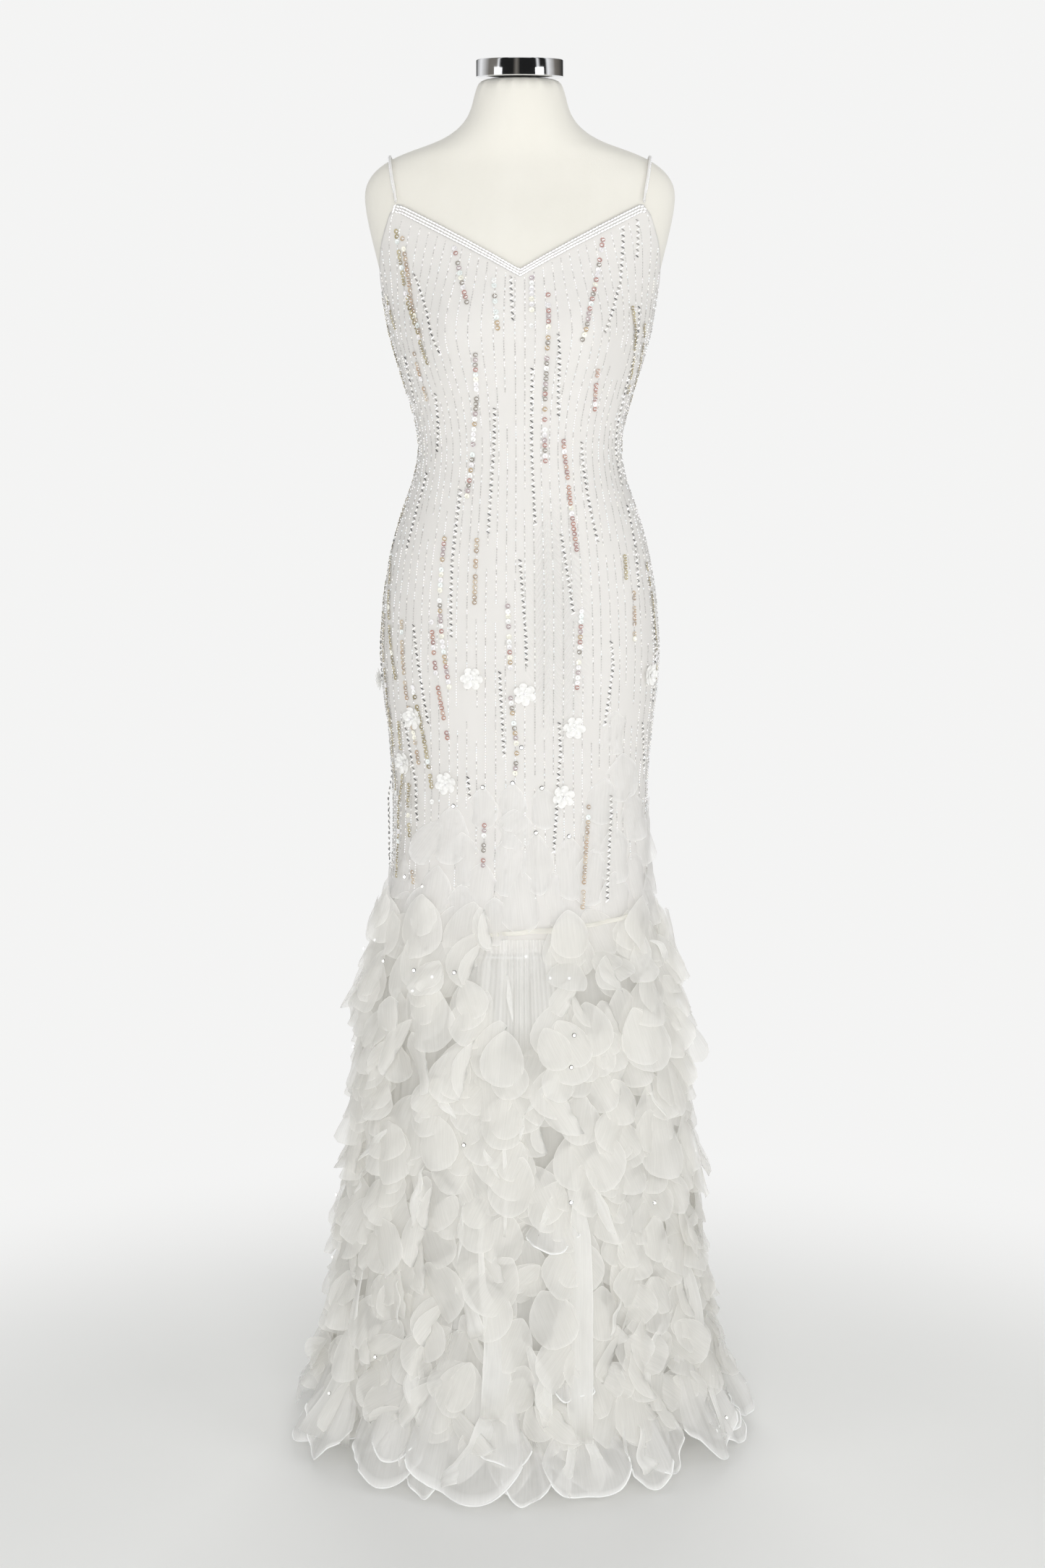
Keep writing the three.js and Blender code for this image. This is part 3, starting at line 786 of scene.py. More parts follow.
ZIP_BELOW_TOP, PULL_OUT = 0.012, 0.0014
PULL_LONG, PULL_WIDE, PULL_THICK = 0.013, 0.0042, 0.0011
zip_top = float(top_at(math.pi)) - ZIP_BELOW_TOP
place, side, up, normal = (Vector(part) for part in figure.seat(math.pi, zip_top, OVER_FORM + PULL_OUT))
pull_shape = bmesh.new()
bmesh.ops.create_uvsphere(pull_shape, u_segments=12, v_segments=8, radius=0.5)
bmesh.ops.scale(pull_shape, verts=pull_shape.verts, vec=(PULL_WIDE, PULL_LONG, PULL_THICK))
axes = Matrix((side, up, normal)).transposed().to_4x4()
bmesh.ops.transform(pull_shape, verts=pull_shape.verts, matrix=Matrix.Translation(place) @ axes)
piece(pull_shape, "zip_pull", CHROME)
print("seams: 3, and a zip's pull at", round(zip_top, 3), "m")

# %% Skirt
GATHERS, GATHER_DEPTH = 74, 0.0022
RIPPLES, RIPPLE_DEPTH = 37, 0.004
HEM_WAVES, HEM_WAVE_HEIGHT = 13, 0.011
HEM_FRILLS, HEM_FRILL_HEIGHT = 31, 0.004
SKIRT_TOP = SEAM_Z - SEAM_GAP
SKIRT_INSET = 0.0008
SKIRT_COLUMNS, SKIRT_ROWS = 200, 72
SKIRT_SIZE = (0.95, 0.62)
ROLL, TAPE_ROLL = 0.001, 0.0016


def skirt_surface(turn, up):
    """Points of the skirt, from its uneven hem, where up is 0, to the seam, where up is 1."""
    waves = HEM_WAVE_HEIGHT * (1 + np.sin(HEM_WAVES * turn + 2 * np.sin(2 * turn)))
    hem = hem_at(turn) + waves + HEM_FRILL_HEIGHT * (1 + np.sin(HEM_FRILLS * turn))
    height = hem + (SKIRT_TOP - hem) * up
    gather = GATHER_DEPTH * np.sin(GATHERS * turn + 2.0 * np.sin(3 * turn)) * up**3
    ripple = RIPPLE_DEPTH * np.sin(RIPPLES * turn + 14 * height) * (1 - up) ** 2
    return gown.seat(turn, height, -SKIRT_INSET + gather * (1 - up) * 4 + ripple)[0]


def skirt_half(node, name, start):
    """Half of the skirt, from one side seam to the other."""
    start = math.radians(start)

    def where(across, up):
        return skirt_surface(start + math.pi * across, up)

    def marks(across, up):
        return {"edge": np.clip(1 - up / 0.012, 0, 1) + 0.5 * np.clip((up - 0.985) / 0.015, 0, 1)}

    made = cloth(name, SKIRT_COLUMNS, SKIRT_ROWS, where, SKIRT_CLOTH, SKIRT_SIZE, marks)
    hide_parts(node)
    return made


skirts = [
    skirt_half("skirt_front", "organza_skirt_front", -90),
    skirt_half("skirt_back", "organza_skirt_back", 90),
]
print("skirt:", [len(made.data.polygons) for made in skirts])

# %% Rolled hem, and tape over the knee seam
HEM_POINTS = 480
TAPE_OUT = 0.001
round_turns = np.linspace(0, 2 * math.pi, HEM_POINTS, endpoint=False)
hem_line = skirt_surface(round_turns, 0 * round_turns)
cord_piece("rolled_hem", hem_line, ROLL, CORD_WHITE, closed=True)
tape_line = gown.seat(round_turns, 0 * round_turns + SEAM_Z, TAPE_OUT)[0]
cord_piece("knee_seam_tape", tape_line, TAPE_ROLL, CORD_WHITE, closed=True)
hem_low, hem_high = float(hem_line[:, 2].min()), float(hem_line[:, 2].max())
print("skirt hem from", round(hem_low * 1000), "to", round(hem_high * 1000), "mm")

# %% [markdown]
# ## The petals
# Each petal is a teardrop of organza, cut hot so that its edge is sealed and brighter, and sewn on by its
# point, some with a small stone. Nearly nine hundred of them hang in rows below the knee. One teardrop is
# made as rings round its middle, and each copy gets its own length, width, lean, lift and curl. High on the
# thigh they lie flat and small, and near the hem they turn and fold.


# %% One teardrop
PINCH, WIDEST = 0.5, 0.86
MIDDLE = 0.6
RINGS = [0.0, 0.3, 0.6, 0.85, 0.975, 1.0]
AROUND = 22


def teardrop():
    """Points with x across, from -1 to 1, y down, from 0 to 1, and z the share of the way to the edge."""
    shape = bmesh.new()
    bmesh.ops.create_grid(shape, x_segments=AROUND, y_segments=len(RINGS) - 1, size=0.5)
    for vertex in shape.verts:
        angle = 2 * math.pi * (vertex.co.x + 0.5)
        ring = RINGS[round((vertex.co.y + 0.5) * (len(RINGS) - 1))]
        across = math.sin(angle) * abs(math.sin(angle / 2)) ** PINCH / WIDEST
        down = (1 - math.cos(angle)) / 2
        vertex.co = (ring * across, MIDDLE + ring * (down - MIDDLE), ring)
    bmesh.ops.remove_doubles(shape, verts=shape.verts, dist=MERGE)
    return outline_of(shape)


TEARDROP = teardrop()
print("a petal has", len(TEARDROP[1]), "triangles")


# %% Petals on a surface
UNFOLDED = 9.0
FOLD_SLANT, FOLD_RISE, CUPPING = 0.35, 0.12, 0.16
WAVE_DEPTH, WRINKLE_DEPTH = 0.0026, 0.0016
SEALED_FROM = 0.97
SHIFT = 0.37
OFF_FLOOR = 0.004


def column(values):
    """The values as a column: a row for each petal."""
    return np.asarray(values, float)[:, None]


def petal_piece(name, finish, turn, height, length, width, lean, lift, curl, roll, out, crease=None):
    """A mesh of petals. Each argument is an array with a value for each petal. crease is where a petal is
    folded over: the share of its half width that stays flat, or more than 1 for none."""
    points, faces = TEARDROP
    place, side, up, normal = crests.seat(turn, height, out)
    across, down, ring = points[:, 0], points[:, 1], points[:, 2]
    crease = column(np.full(len(turn), UNFOLDED) if crease is None else crease)
    turn, length, width = column(turn), column(length), column(width)
    lean, lift, curl, roll = column(lean), column(lift), column(curl), column(roll)
    slant = FOLD_SLANT * np.sin(40 * turn)
    past = np.maximum(across + slant * (down - 0.5) - crease, 0)
    x = width / 2 * (across - 2 * past)
    y = length * down
    z = length * (np.sin(lift) * down + curl * down**2 * 0.5)
    z = z + width * FOLD_RISE * np.sqrt(past)
    z = z - width * CUPPING * (across - 2 * past) ** 2 * (0.4 + down)
    z = z + WAVE_DEPTH * np.sin(across * 5 + turn * 40) * down * ring
    z = z + WRINKLE_DEPTH * np.sin(down * 9 + across * 4 + turn * 70) * ring
    y = y * np.cos(lift)
    turned_x = x * np.cos(roll) - z * np.sin(roll) * down
    z = z + x * np.sin(roll) * down
    x = turned_x
    leaned_x = x * np.cos(lean) + y * np.sin(lean)
    y = y * np.cos(lean) - x * np.sin(lean)
    placed = (
        place[:, None, :]
        + leaned_x[..., None] * side[:, None, :]
        - y[..., None] * up[:, None, :]
        + z[..., None] * normal[:, None, :]
    )
    placed[..., 2] = np.maximum(placed[..., 2], OFF_FLOOR)
    copies = len(place)
    mesh = joined_mesh(name, placed, faces, copies)
    give(mesh, "edge", np.tile(np.clip((ring - SEALED_FROM) / 0.03, 0, 1), copies))
    flat_x = (width / 2 * across + column(np.arange(copies)) * SHIFT).ravel()
    flat_map(mesh, np.column_stack([flat_x, (length * down).ravel()]))
    return settle(mesh, name, finish)


def spread(count, low, high):
    """Seeded random numbers between two values."""
    return random.uniform(low, high, count)


# %% Where the petals below the knee are sewn
PETAL_WIDTH, PETAL_LENGTH = 0.055, 0.070
PER_ROW = 5
SPACING = 1.08
LOWEST_ROOT = 0.11
ROW_SCATTER, UNEVEN = 0.014, 0.35
MEASURED_TURN = 0.8
OPEN_TURN, OPEN_BELOW_SEAM = 0.30, 0.035
skirt_rows = sorted(
    (name for name in nodes if name.startswith("petals_skirt") or name == "petals_knee"),
    key=lambda name: -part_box(name)[1].z,
)
row_tops = [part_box(name)[1].z for name in skirt_rows]
roots = []
for number, top in enumerate(row_tops):
    below = row_tops[number + 1] if number + 1 < len(row_tops) else LOWEST_ROOT - 0.01
    for part in range(PER_ROW):
        height = top + (below - top) * part / PER_ROW
        around = 2 * math.pi * float(crests.radius(MEASURED_TURN, height))
        count = round(around / (PETAL_WIDTH * SPACING))
        phase = random.uniform(0, 1)
        for k in range(count):
            roots.append((2 * math.pi * (k + phase + random.uniform(-UNEVEN, UNEVEN)) / count, height))
roots = np.array(roots)
roots[:, 1] = np.maximum(roots[:, 1] + spread(len(roots), -ROW_SCATTER, ROW_SCATTER), LOWEST_ROOT)
in_gathers = (np.cos(roots[:, 0]) > math.cos(OPEN_TURN)) & (roots[:, 1] > SEAM_Z - OPEN_BELOW_SEAM)
roots = roots[~in_gathers]
count = len(roots)
print("petals below the knee:", count)

# %% How each of them hangs
FOLDED_SHARE, MORE_FOLDED_LOW = 0.14, 0.3
OUTWARD_SHARE, AT_SIDE = 0.75, 0.8
LOW_BELOW_Z, HIGH_ABOVE_Z = 0.42, 0.44
low_share = np.clip((LOW_BELOW_Z - roots[:, 1]) / 0.3, 0, 1)
high_share = np.clip((roots[:, 1] - HIGH_ABOVE_Z) / 0.16, 0, 1)
sides = np.sign(spread(count, -1, 1))
folded = random.random(count) < FOLDED_SHARE + MORE_FOLDED_LOW * low_share
size = spread(count, 0.74, 1.18)
outward_sign = -np.sign(np.sin(roots[:, 0])) * np.sign(np.cos(roots[:, 0]))
at_side = np.abs(np.sin(roots[:, 0])) > AT_SIDE
faces_out = at_side & (random.random(count) < OUTWARD_SHARE) & ~folded
lean = sides * spread(count, 0.0, 0.5 + 0.6 * low_share)
lift = spread(count, 0.02, 0.22) + 0.1 * high_share
curl = spread(count, -0.2, 0.16) - 0.08 * high_share
out = spread(count, 0.001, 0.012 + 0.006 * high_share)
width = PETAL_WIDTH * size * spread(count, 0.9, 1.12)
outward_roll = -outward_sign * spread(count, 0.5, 1.15)
small_roll = sides * np.where(folded, 0.5, 0.3) * spread(count, -0.4, 1)
skirt_petals = petal_piece(
    "petals_of_the_skirt",
    PETAL_CLOTH,
    roots[:, 0],
    roots[:, 1],
    PETAL_LENGTH * size,
    width,
    lean,
    lift,
    curl,
    np.where(faces_out, outward_roll, small_roll),
    out,
    np.where(folded, spread(count, -0.35, 0.5), UNFOLDED),
)
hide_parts(*skirt_rows)

# %% Smaller petals doubled on some of them
DOUBLED_SHARE, DOUBLED_OUT = 0.3, 0.0015
is_doubled = (random.random(count) < DOUBLED_SHARE) & ~folded
twins = roots[is_doubled]
number = len(twins)
twin_petals = petal_piece(
    "petals_doubled",
    PETAL_CLOTH,
    twins[:, 0],
    twins[:, 1],
    PETAL_LENGTH * size[is_doubled] * spread(number, 0.6, 0.9),
    PETAL_WIDTH * size[is_doubled] * spread(number, 0.6, 0.85),
    lean[is_doubled] + spread(number, -0.25, 0.25),
    lift[is_doubled] + 0.03,
    curl[is_doubled],
    spread(number, -0.15, 0.15),
    out[is_doubled] + DOUBLED_OUT,
)
print("doubled petals:", number)

# %% [markdown]
# ## The petals of the thigh and hip
# Above the knee there are few petals, and the photograph shows where each one starts. They are listed by
# the pixel of the stone at their point, with a length and a width in millimetres and a lean in degrees.
# Those on the hidden side are spaced evenly, in the places that the solids hold.

# %% Petals seen on the thigh
SEEN_PETALS = [
    # across and down, then length, width and lean
    (668, 1088, 50, 36, 0),
    (709, 1082, 58, 38, 0),
    (749, 1088, 50, 40, 8),
    (628, 1113, 72, 46, -6),
    (711, 1118, 48, 48, 0),
    (612, 1136, 62, 40, -32),
    (640, 1150, 66, 46, 4),
    (709, 1152, 76, 50, -3),
    (741, 1151, 74, 40, 4),
    (786, 1156, 76, 46, 0),
    (668, 1192, 74, 52, -5),
    (608, 1196, 60, 42, -6),
    (587, 1225, 74, 46, -16),
    (640, 1222, 62, 48, 0),
    (716, 1200, 78, 54, 2),
    (765, 1205, 66, 42, 5),
    (800, 1222, 66, 46, -10),
    (628, 1252, 72, 54, 0),
    (684, 1240, 58, 44, 5),
    (849, 982, 54, 46, 4),
    (858, 1040, 60, 52, 6),
    (836, 1075, 56, 46, -8),
    (868, 1096, 62, 48, 14),
    (828, 1110, 60, 48, -4),
    (880, 1130, 66, 50, 22),
    (846, 1142, 70, 52, 6),
    (820, 1172, 70, 50, -6),
    (872, 1178, 72, 50, 16),
    (846, 1204, 72, 52, 4),
    (889, 1210, 70, 48, 24),
    (560, 1180, 58, 42, -14),
    (566, 1232, 70, 48, -22),
    (750, 1312, 62, 48, -38),
    (772, 1310, 64, 50, 36),
    (665, 1318, 68, 44, 0),
    (640, 1296, 46, 44, 6),
]
seen = [(*seen_at(across, down), *cut) for across, down, *cut in SEEN_PETALS]
print("petals in view on the thigh:", len(seen))

# %% All the petals of the thigh
HIDDEN_PETAL, HIDDEN_STEP, HIDDEN_DROP = (66, 48, 0), 17, 0.03
CLEAR_OF_GATHERS = 0.019
hidden = []
for name, end in (("petals_thigh_high", 112), ("petals_thigh_mid", 182)):
    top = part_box(name)[1].z
    for part in range(2):
        for turn in np.arange(84 + 9 * part, end, HIDDEN_STEP):
            hidden.append((math.radians(turn), top - HIDDEN_DROP * part, *HIDDEN_PETAL))
for turn in np.arange(-172, -70, HIDDEN_STEP):
    hidden.append((math.radians(turn), row_tops[0] + HIDDEN_DROP, *HIDDEN_PETAL))
thigh = np.array(seen + hidden)
count = len(thigh)
thigh_petals = petal_piece(
    "petals_of_the_thigh",
    SHEER_CLOTH,
    thigh[:, 0],
    thigh[:, 1],
    thigh[:, 2] / 1000,
    thigh[:, 3] / 1000,
    np.radians(thigh[:, 4]) + spread(count, -0.06, 0.06),
    spread(count, 0.01, 0.06),
    spread(count, 0.0, 0.06),
    spread(count, -0.1, 0.1),
    np.where(thigh[:, 1] < SEAM_Z, CLEAR_OF_GATHERS, spread(count, 0.0018, 0.0036)),
)
thigh_nodes = [name for name in nodes if name.startswith("petals_") and name not in skirt_rows]
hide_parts(*thigh_nodes)
print("petals on the thigh:", count)

# %% [markdown]
# ## Strips, lobes and gathers between the petals
# The sheer layer doesn't stay under the petals. Strips of it, doubled and pressed flat, hang between them,
# and at the hem it opens into rounded lobes with a rolled edge. The ones in view are listed by pixels of
# the photograph: a strip by the places that its middle passes, and a lobe by the middle of its foot.
# Behind, where the photograph doesn't show, they are set round the skirt by seeded random numbers.


# %% Several cloths in one piece
def grid_shape(columns, rows):
    """The points, from 0 to 1 across and up, and the triangles of a grid."""
    shape = bmesh.new()
    bmesh.ops.create_grid(shape, x_segments=columns, y_segments=rows, size=0.5)
    bmesh.ops.translate(shape, verts=shape.verts, vec=(0.5, 0.5, 0))
    return outline_of(shape)


def cloths(name, grid, places, sizes, edge, finish):
    """One piece of several cloths. places are the points of each, and sizes its cut width and length."""
    points, faces = grid
    mesh = joined_mesh(name, np.array(places), faces, len(places))
    give(mesh, "edge", np.tile(edge, len(places)))
    shifts = np.arange(len(sizes))[:, None, None] * SHIFT
    flat = points[None, :, :2] * np.array(sizes)[:, None, :] + shifts
    flat_map(mesh, flat.reshape(-1, 2))
    return settle(mesh, name, finish)


def eased(values, times=6):
    """The values with each but the ends averaged with its neighbours."""
    for _ in range(times):
        inner = (values[:-2] + 2 * values[1:-1] + values[2:]) / 4
        values = np.concatenate([values[:1], inner, values[-1:]])
    return values


# %% Strips seen in the photograph
STRIPS = [
    # pixels down its middle, then widths and distances off the petals from its top to its foot, in mm
    (
        [(792, 1575), (793, 1640), (795, 1700), (795, 1800), (794, 1900), (793, 1990)],
        (3, 6, 22, 27, 28, 25),
        (12, 22),
    ),
    ([(784, 1985), (777, 2015), (766, 2046)], (13, 11, 22), (22, 14)),
    ([(806, 1985), (816, 2012), (832, 2046)], (13, 11, 22), (22, 14)),
    (
        [(672, 1600), (672, 1700), (676, 1770), (690, 1830), (694, 1880), (688, 1950)],
        (3, 5, 8, 24, 32, 26),
        (12, 22),
    ),
    ([(688, 1940), (676, 1985), (650, 2022), (618, 2046)], (26, 26, 22, 12), (20, 16)),
    (
        [(532, 1690), (528, 1750), (520, 1810), (510, 1870), (500, 1930), (488, 1985)],
        (5, 12, 24, 22, 34, 56),
        (12, 18),
    ),
    ([(926, 1700), (936, 1770), (950, 1840), (957, 1910), (958, 2010)], (5, 16, 12, 8, 6), (12, 18)),
    ([(640, 1735), (652, 1785), (672, 1835)], (5, 16, 20), (14, 20)),
    ([(476, 1760), (462, 1830), (445, 1880), (432, 1928)], (10, 26, 40, 46), (8, 12)),
    ([(998, 1800), (1004, 1880), (1010, 1960)], (14, 30, 44), (8, 14)),
    ([(728, 1850), (745, 1900), (752, 1960)], (4, 20, 12), (14, 18)),
    ([(905, 1790), (890, 1850), (872, 1915)], (4, 12, 6), (14, 18)),
    ([(860, 1950), (856, 2000), (872, 2040)], (6, 18, 22), (16, 16)),
    ([(600, 1840), (596, 1900), (604, 1960)], (4, 16, 10), (14, 18)),
    ([(697, 1560), (702, 1640), (700, 1705)], (3, 5, 3), (14, 16)),
]
SPIKES = [
    # pixels of its top and of its foot, then its width in mm
    (878, 1290, 912, 1355, 9),
    (922, 1408, 914, 1452, 9),
    (774, 1468, 728, 1538, 13),
    (700, 1340, 706, 1416, 6),
    (612, 1496, 636, 1544, 9),
    (556, 1552, 516, 1608, 10),
    (726, 1536, 720, 1576, 7),
    (670, 1572, 694, 1624, 7),
    (798, 1600, 838, 1722, 12),
    (604, 1600, 592, 1690, 12),
    (648, 1640, 642, 1740, 8),
    (530, 1600, 514, 1650, 9),
    (880, 1500, 900, 1560, 8),
    (760, 1640, 742, 1700, 9),
    (560, 1760, 572, 1830, 8),
    (840, 1780, 826, 1840, 9),
]
print("strips and spikes in view:", len(STRIPS), len(SPIKES))

# %% The shape of a strip
STRIP_GRID = grid_shape(10, 40)
STRIP_CREASE, STRIP_CURL = 0.035, 0.12
STRIP_WAVE, STRIP_TWIST = 0.0025, 0.7
FINE_STEPS = 61


def strip_points(line, widths, stands):
    """The points of a strip along a line of turns and heights."""

    def pick(values):
        return np.interp(down, fine, values)

    across, down = STRIP_GRID[0][:, 0], 1 - STRIP_GRID[0][:, 1]
    fine = np.linspace(0, 1, FINE_STEPS)
    line = np.array(line, float)
    known = np.linspace(0, 1, len(line))
    turn, height = (eased(np.interp(fine, known, line[:, k])) for k in (0, 1))
    reach = crests.radius(turn, height)
    run, rise = np.gradient(turn) * reach, np.gradient(height)
    steep = np.hypot(run, rise)
    width = np.interp(down, np.linspace(0, 1, len(widths)), widths) / 1000
    offset = (across - 0.5) * width
    at_turn = pick(turn) - offset * pick(rise / steep) / pick(reach)
    at_height = np.maximum(pick(height) + offset * pick(run / steep), OFF_FLOOR)
    stand = (stands[0] + (stands[1] - stands[0]) * down) / 1000 * np.minimum(down * 6 + 0.15, 1)
    start = line[0, 0]
    crease = STRIP_CREASE * width * np.cos((across - 0.5) * 13 + 5 * start)
    crease = crease - STRIP_CURL * width * (2 * across - 1) ** 4
    wave = STRIP_WAVE * np.sin(down * 11 + start * 9)
    twist = offset * STRIP_TWIST * np.sin(down * 3 + start * 17)
    return crests.seat(at_turn, at_height, stand + crease + wave + twist)[0]


def seen_lines(rows):
    """The rows with the pixels that each starts with turned into turns and heights."""
    return [([seen_at(*pixel) for pixel in line], *rest) for line, *rest in rows]


# %% Every strip, seen and unseen
UNSEEN_SPIKES = 34
strip_lines = seen_lines(STRIPS)
for *pixels, width in SPIKES:
    line = [seen_at(*pixels[:2]), seen_at(*pixels[2:])]
    strip_lines.append((line, (1, width * 0.5, width, width * 0.6, 0.5), (13, 19)))
for turn in np.arange(98, 262, 18):
    top, middle = random.uniform(0.24, 0.42), math.radians(turn)
    places = [(middle, top), (middle + 0.03, top * 0.6), (middle + random.uniform(-0.1, 0.1), 0.06)]
    strip_lines.append((places, (4, random.uniform(16, 30), random.uniform(20, 40)), (12, 18)))
for _ in range(UNSEEN_SPIKES):
    turn, top = random.uniform(1.4, 4.9), random.uniform(0.12, 0.56)
    foot = (turn + random.uniform(-0.14, 0.14), top - random.uniform(0.03, 0.07))
    strip_lines.append(([(turn, top), foot], (1, 4, random.uniform(6, 12), 5, 0.5), (12, 18)))
strip_sizes = []
for line, widths, stands in strip_lines:
    run = lengths_along(crests.at(*np.array(line).T))[-1]
    strip_sizes.append((max(widths) / 1000, run))
strip_side = np.clip((np.abs(STRIP_GRID[0][:, 0] - 0.5) * 2 - 0.8) / 0.2, 0, 1)
near_end = np.clip(1 - np.minimum(STRIP_GRID[0][:, 1], 1 - STRIP_GRID[0][:, 1]) / 0.14, 0, 1)
strip_edge = (0.1 + 0.6 * strip_side) * (1 - near_end) - 1.5 * near_end**1.5
strips = cloths(
    "organza_strips",
    STRIP_GRID,
    [strip_points(*strip) for strip in strip_lines],
    strip_sizes,
    strip_edge,
    STRIP_CLOTH,
)
print("strips:", len(strip_lines))

# %% Lobes seen in the photograph
HEM_LOBES = [
    # pixels across to the middle of its foot, then its width, height and reach beyond the hem in mm
    (800, 104, 92, 21),
    (655, 138, 190, 20),
    (727, 58, 70, 12),
    (560, 100, 170, 16),
    (486, 84, 110, 16),
    (446, 70, 150, 12),
    (862, 64, 110, 13),
    (946, 88, 180, 18),
    (994, 70, 90, 14),
    (1022, 72, 150, 12),
    (608, 60, 66, 10),
    (902, 60, 90, 10),
]
TIER_LOBES = [
    # pixels across and down to the middle of its foot, then its width, height and reach in mm
    (758, 1722, 58, 42, 16),
    (787, 1934, 44, 34, 17),
    (988, 1990, 74, 70, 15),
    (566, 2010, 60, 62, 17),
    (700, 2030, 60, 50, 16),
]
print("lobes in view:", len(HEM_LOBES) + len(TIER_LOBES))

# %% The shape of a lobe
LOBE_GRID = grid_shape(26, 18)
LOBE_STANDS = (0.001, 0.024)
LOBE_RIPPLE, LOBE_FRILL, LOBE_PLEAT = 0.0075, 0.003, 0.0016
LOBE_TAPER = 0.6


def lobe_points(across, up, lobe):
    """The points of a lobe: a rounded tongue of cloth, rippled and standing out at its foot."""
    turn, foot_z, width, height, reach = lobe
    swing = math.pi * across
    low = foot_z + min(0.5 * height, 0.045) * (1 - np.sin(swing))
    low = low + 0.004 * (1 + np.sin(3.1 * swing + turn * 31)) * np.sin(swing)
    at_height = low + (foot_z + height - low) * up
    offset = -np.cos(swing) / 2 * width * (1 - LOBE_TAPER * up**1.3)
    fall = (1 - up) ** 1.2
    ripple = LOBE_RIPPLE * np.sin(2 * math.pi * 1.5 * across + turn * 23)
    ripple = ripple + LOBE_FRILL * np.sin(19 * across + turn * 11)
    pleat = LOBE_PLEAT * np.sin(40 * across + 3 * np.sin(5 * across) + turn * 7)
    stand = 0.005 + reach * fall * (0.45 + 0.55 * np.sin(swing)) + ripple * fall + pleat
    at_turn = turn + offset / crests.radius(turn, at_height)
    return crests.seat(at_turn, at_height, np.clip(stand, *LOBE_STANDS))[0]


# %% Every lobe, with a rolled edge
ON_FLOOR = 1960
LOWEST_TIER = 0.012
EDGE_POINTS = 48
lobes = []
for across, *cut in HEM_LOBES:
    lobes.append((seen_at(across, ON_FLOOR)[0], OFF_FLOOR, *(size / 1000 for size in cut)))
for across, down, *cut in TIER_LOBES:
    turn, foot_z = seen_at(across, down)
    lobes.append((turn, max(foot_z, LOWEST_TIER), *(size / 1000 for size in cut)))
for turn in np.arange(101, 260, 14):
    size = random.uniform(0.06, 0.11)
    lobes.append((math.radians(turn), OFF_FLOOR, size, size * 0.9, random.uniform(0.012, 0.02)))
for turn in np.arange(110, 255, 33):
    lobes.append((math.radians(turn), random.uniform(0.05, 0.1), 0.06, 0.06, 0.015))
near_top = np.clip((LOBE_GRID[0][:, 1] - 0.7) / 0.3, 0, 1)
lobe_edge = np.clip(1 - LOBE_GRID[0][:, 1] / 0.05, 0, 1) - 1.2 * near_top
hem_lobes = cloths(
    "organza_lobes",
    LOBE_GRID,
    [lobe_points(LOBE_GRID[0][:, 0], LOBE_GRID[0][:, 1], lobe) for lobe in lobes],
    [lobe[2:4] for lobe in lobes],
    lobe_edge,
    SHEER_CLOTH,
)
for k, lobe in enumerate(lobes):
    edge_across = np.linspace(random.uniform(0, 0.16), random.uniform(0.84, 1), EDGE_POINTS)
    edge_line = lobe_points(edge_across, 0 * edge_across, lobe)
    cord_piece(f"rolled_edge_{k + 1}", edge_line, ROLL, CORD_WHITE)
print("lobes:", len(lobes))

# %% Gathers under the knee seam
GATHERS_ABOVE, GATHERS_BELOW = 0.022, 0.11
GATHERS_TURN = OPEN_TURN * 1.25
PLEAT_DEPTH = 0.0008


def pleats(turn, up):
    """Uneven pleats: three waves of different widths, each bent by another."""
    fine = np.sin(190 * turn + 6 * np.sin(9 * turn) + 2 * up)
    middle = np.sin(83 * turn + 4 * np.sin(13 * turn) - up)
    return 0.45 * fine + 0.4 * middle + 0.35 * np.sin(37 * turn + 1)


def gathers_where(across, up):
    """Points of the gathers, which stand a little further out towards their foot."""
    turn = GATHERS_TURN * (2 * across - 1)
    height = SEAM_Z + GATHERS_ABOVE - (GATHERS_ABOVE + GATHERS_BELOW) * (1 - up)
    pleat = PLEAT_DEPTH * pleats(turn, up) * (0.4 + 0.6 * up)
    return crests.seat(turn, height, 0.005 + 0.005 * (1 - up) + pleat)[0]


def gathers_marks(across, up):
    """How opaque the gathers are: more on each pleat, and fading out at the foot and sides."""
    turn = GATHERS_TURN * (2 * across - 1)
    fade = np.clip(up / 0.3, 0, 1) * np.clip((1 - np.abs(2 * across - 1)) / 0.25, 0, 1)
    return {"edge": (1.05 + 0.4 * pleats(turn, up)) * fade - 1.1}


size = (0.4, 0.14)
gathers = cloth("knee_gathers", 180, 14, gathers_where, STRIP_CLOTH, size, gathers_marks)
print("gathers:", len(gathers.data.polygons), "faces")

# %% Ends of tape at the knee
TAPES = [
    # pixels down its middle, then widths and distances off the petals from its start to its end, in mm
    ([(686, 1291), (728, 1287), (772, 1284)], (5, 6), (9, 9)),
    ([(800, 1279), (830, 1274), (862, 1265)], (4, 5), (9, 9)),
    ([(640, 1296), (660, 1293), (690, 1291)], (2, 4), (8, 8)),
]
TAPE_SIZES = [(0.007, 0.075), (0.006, 0.055), (0.005, 0.045)]
tape_lines = seen_lines(TAPES)
tapes = cloths(
    "knee_tapes",
    STRIP_GRID,
    [strip_points(*tape_line) for tape_line in tape_lines],
    TAPE_SIZES,
    np.zeros(len(STRIP_GRID[0])),
    TAPE_CLOTH,
)
print("tapes:", len(tape_lines))

# %% [markdown]
# ## Beads
# A seed bead is a rounded bit of glass a millimetre and a half across, so an octahedron with smooth shading
# is enough. A sequin is a cupped ring. The silver zigzags are short tubes sewn aslant, left and right in
# turn. The three shapes are sewn along lines: fine lines of seed beads run all over the sheath, about a
# centimetre apart, and the photograph shows where the sequins and zigzags go.


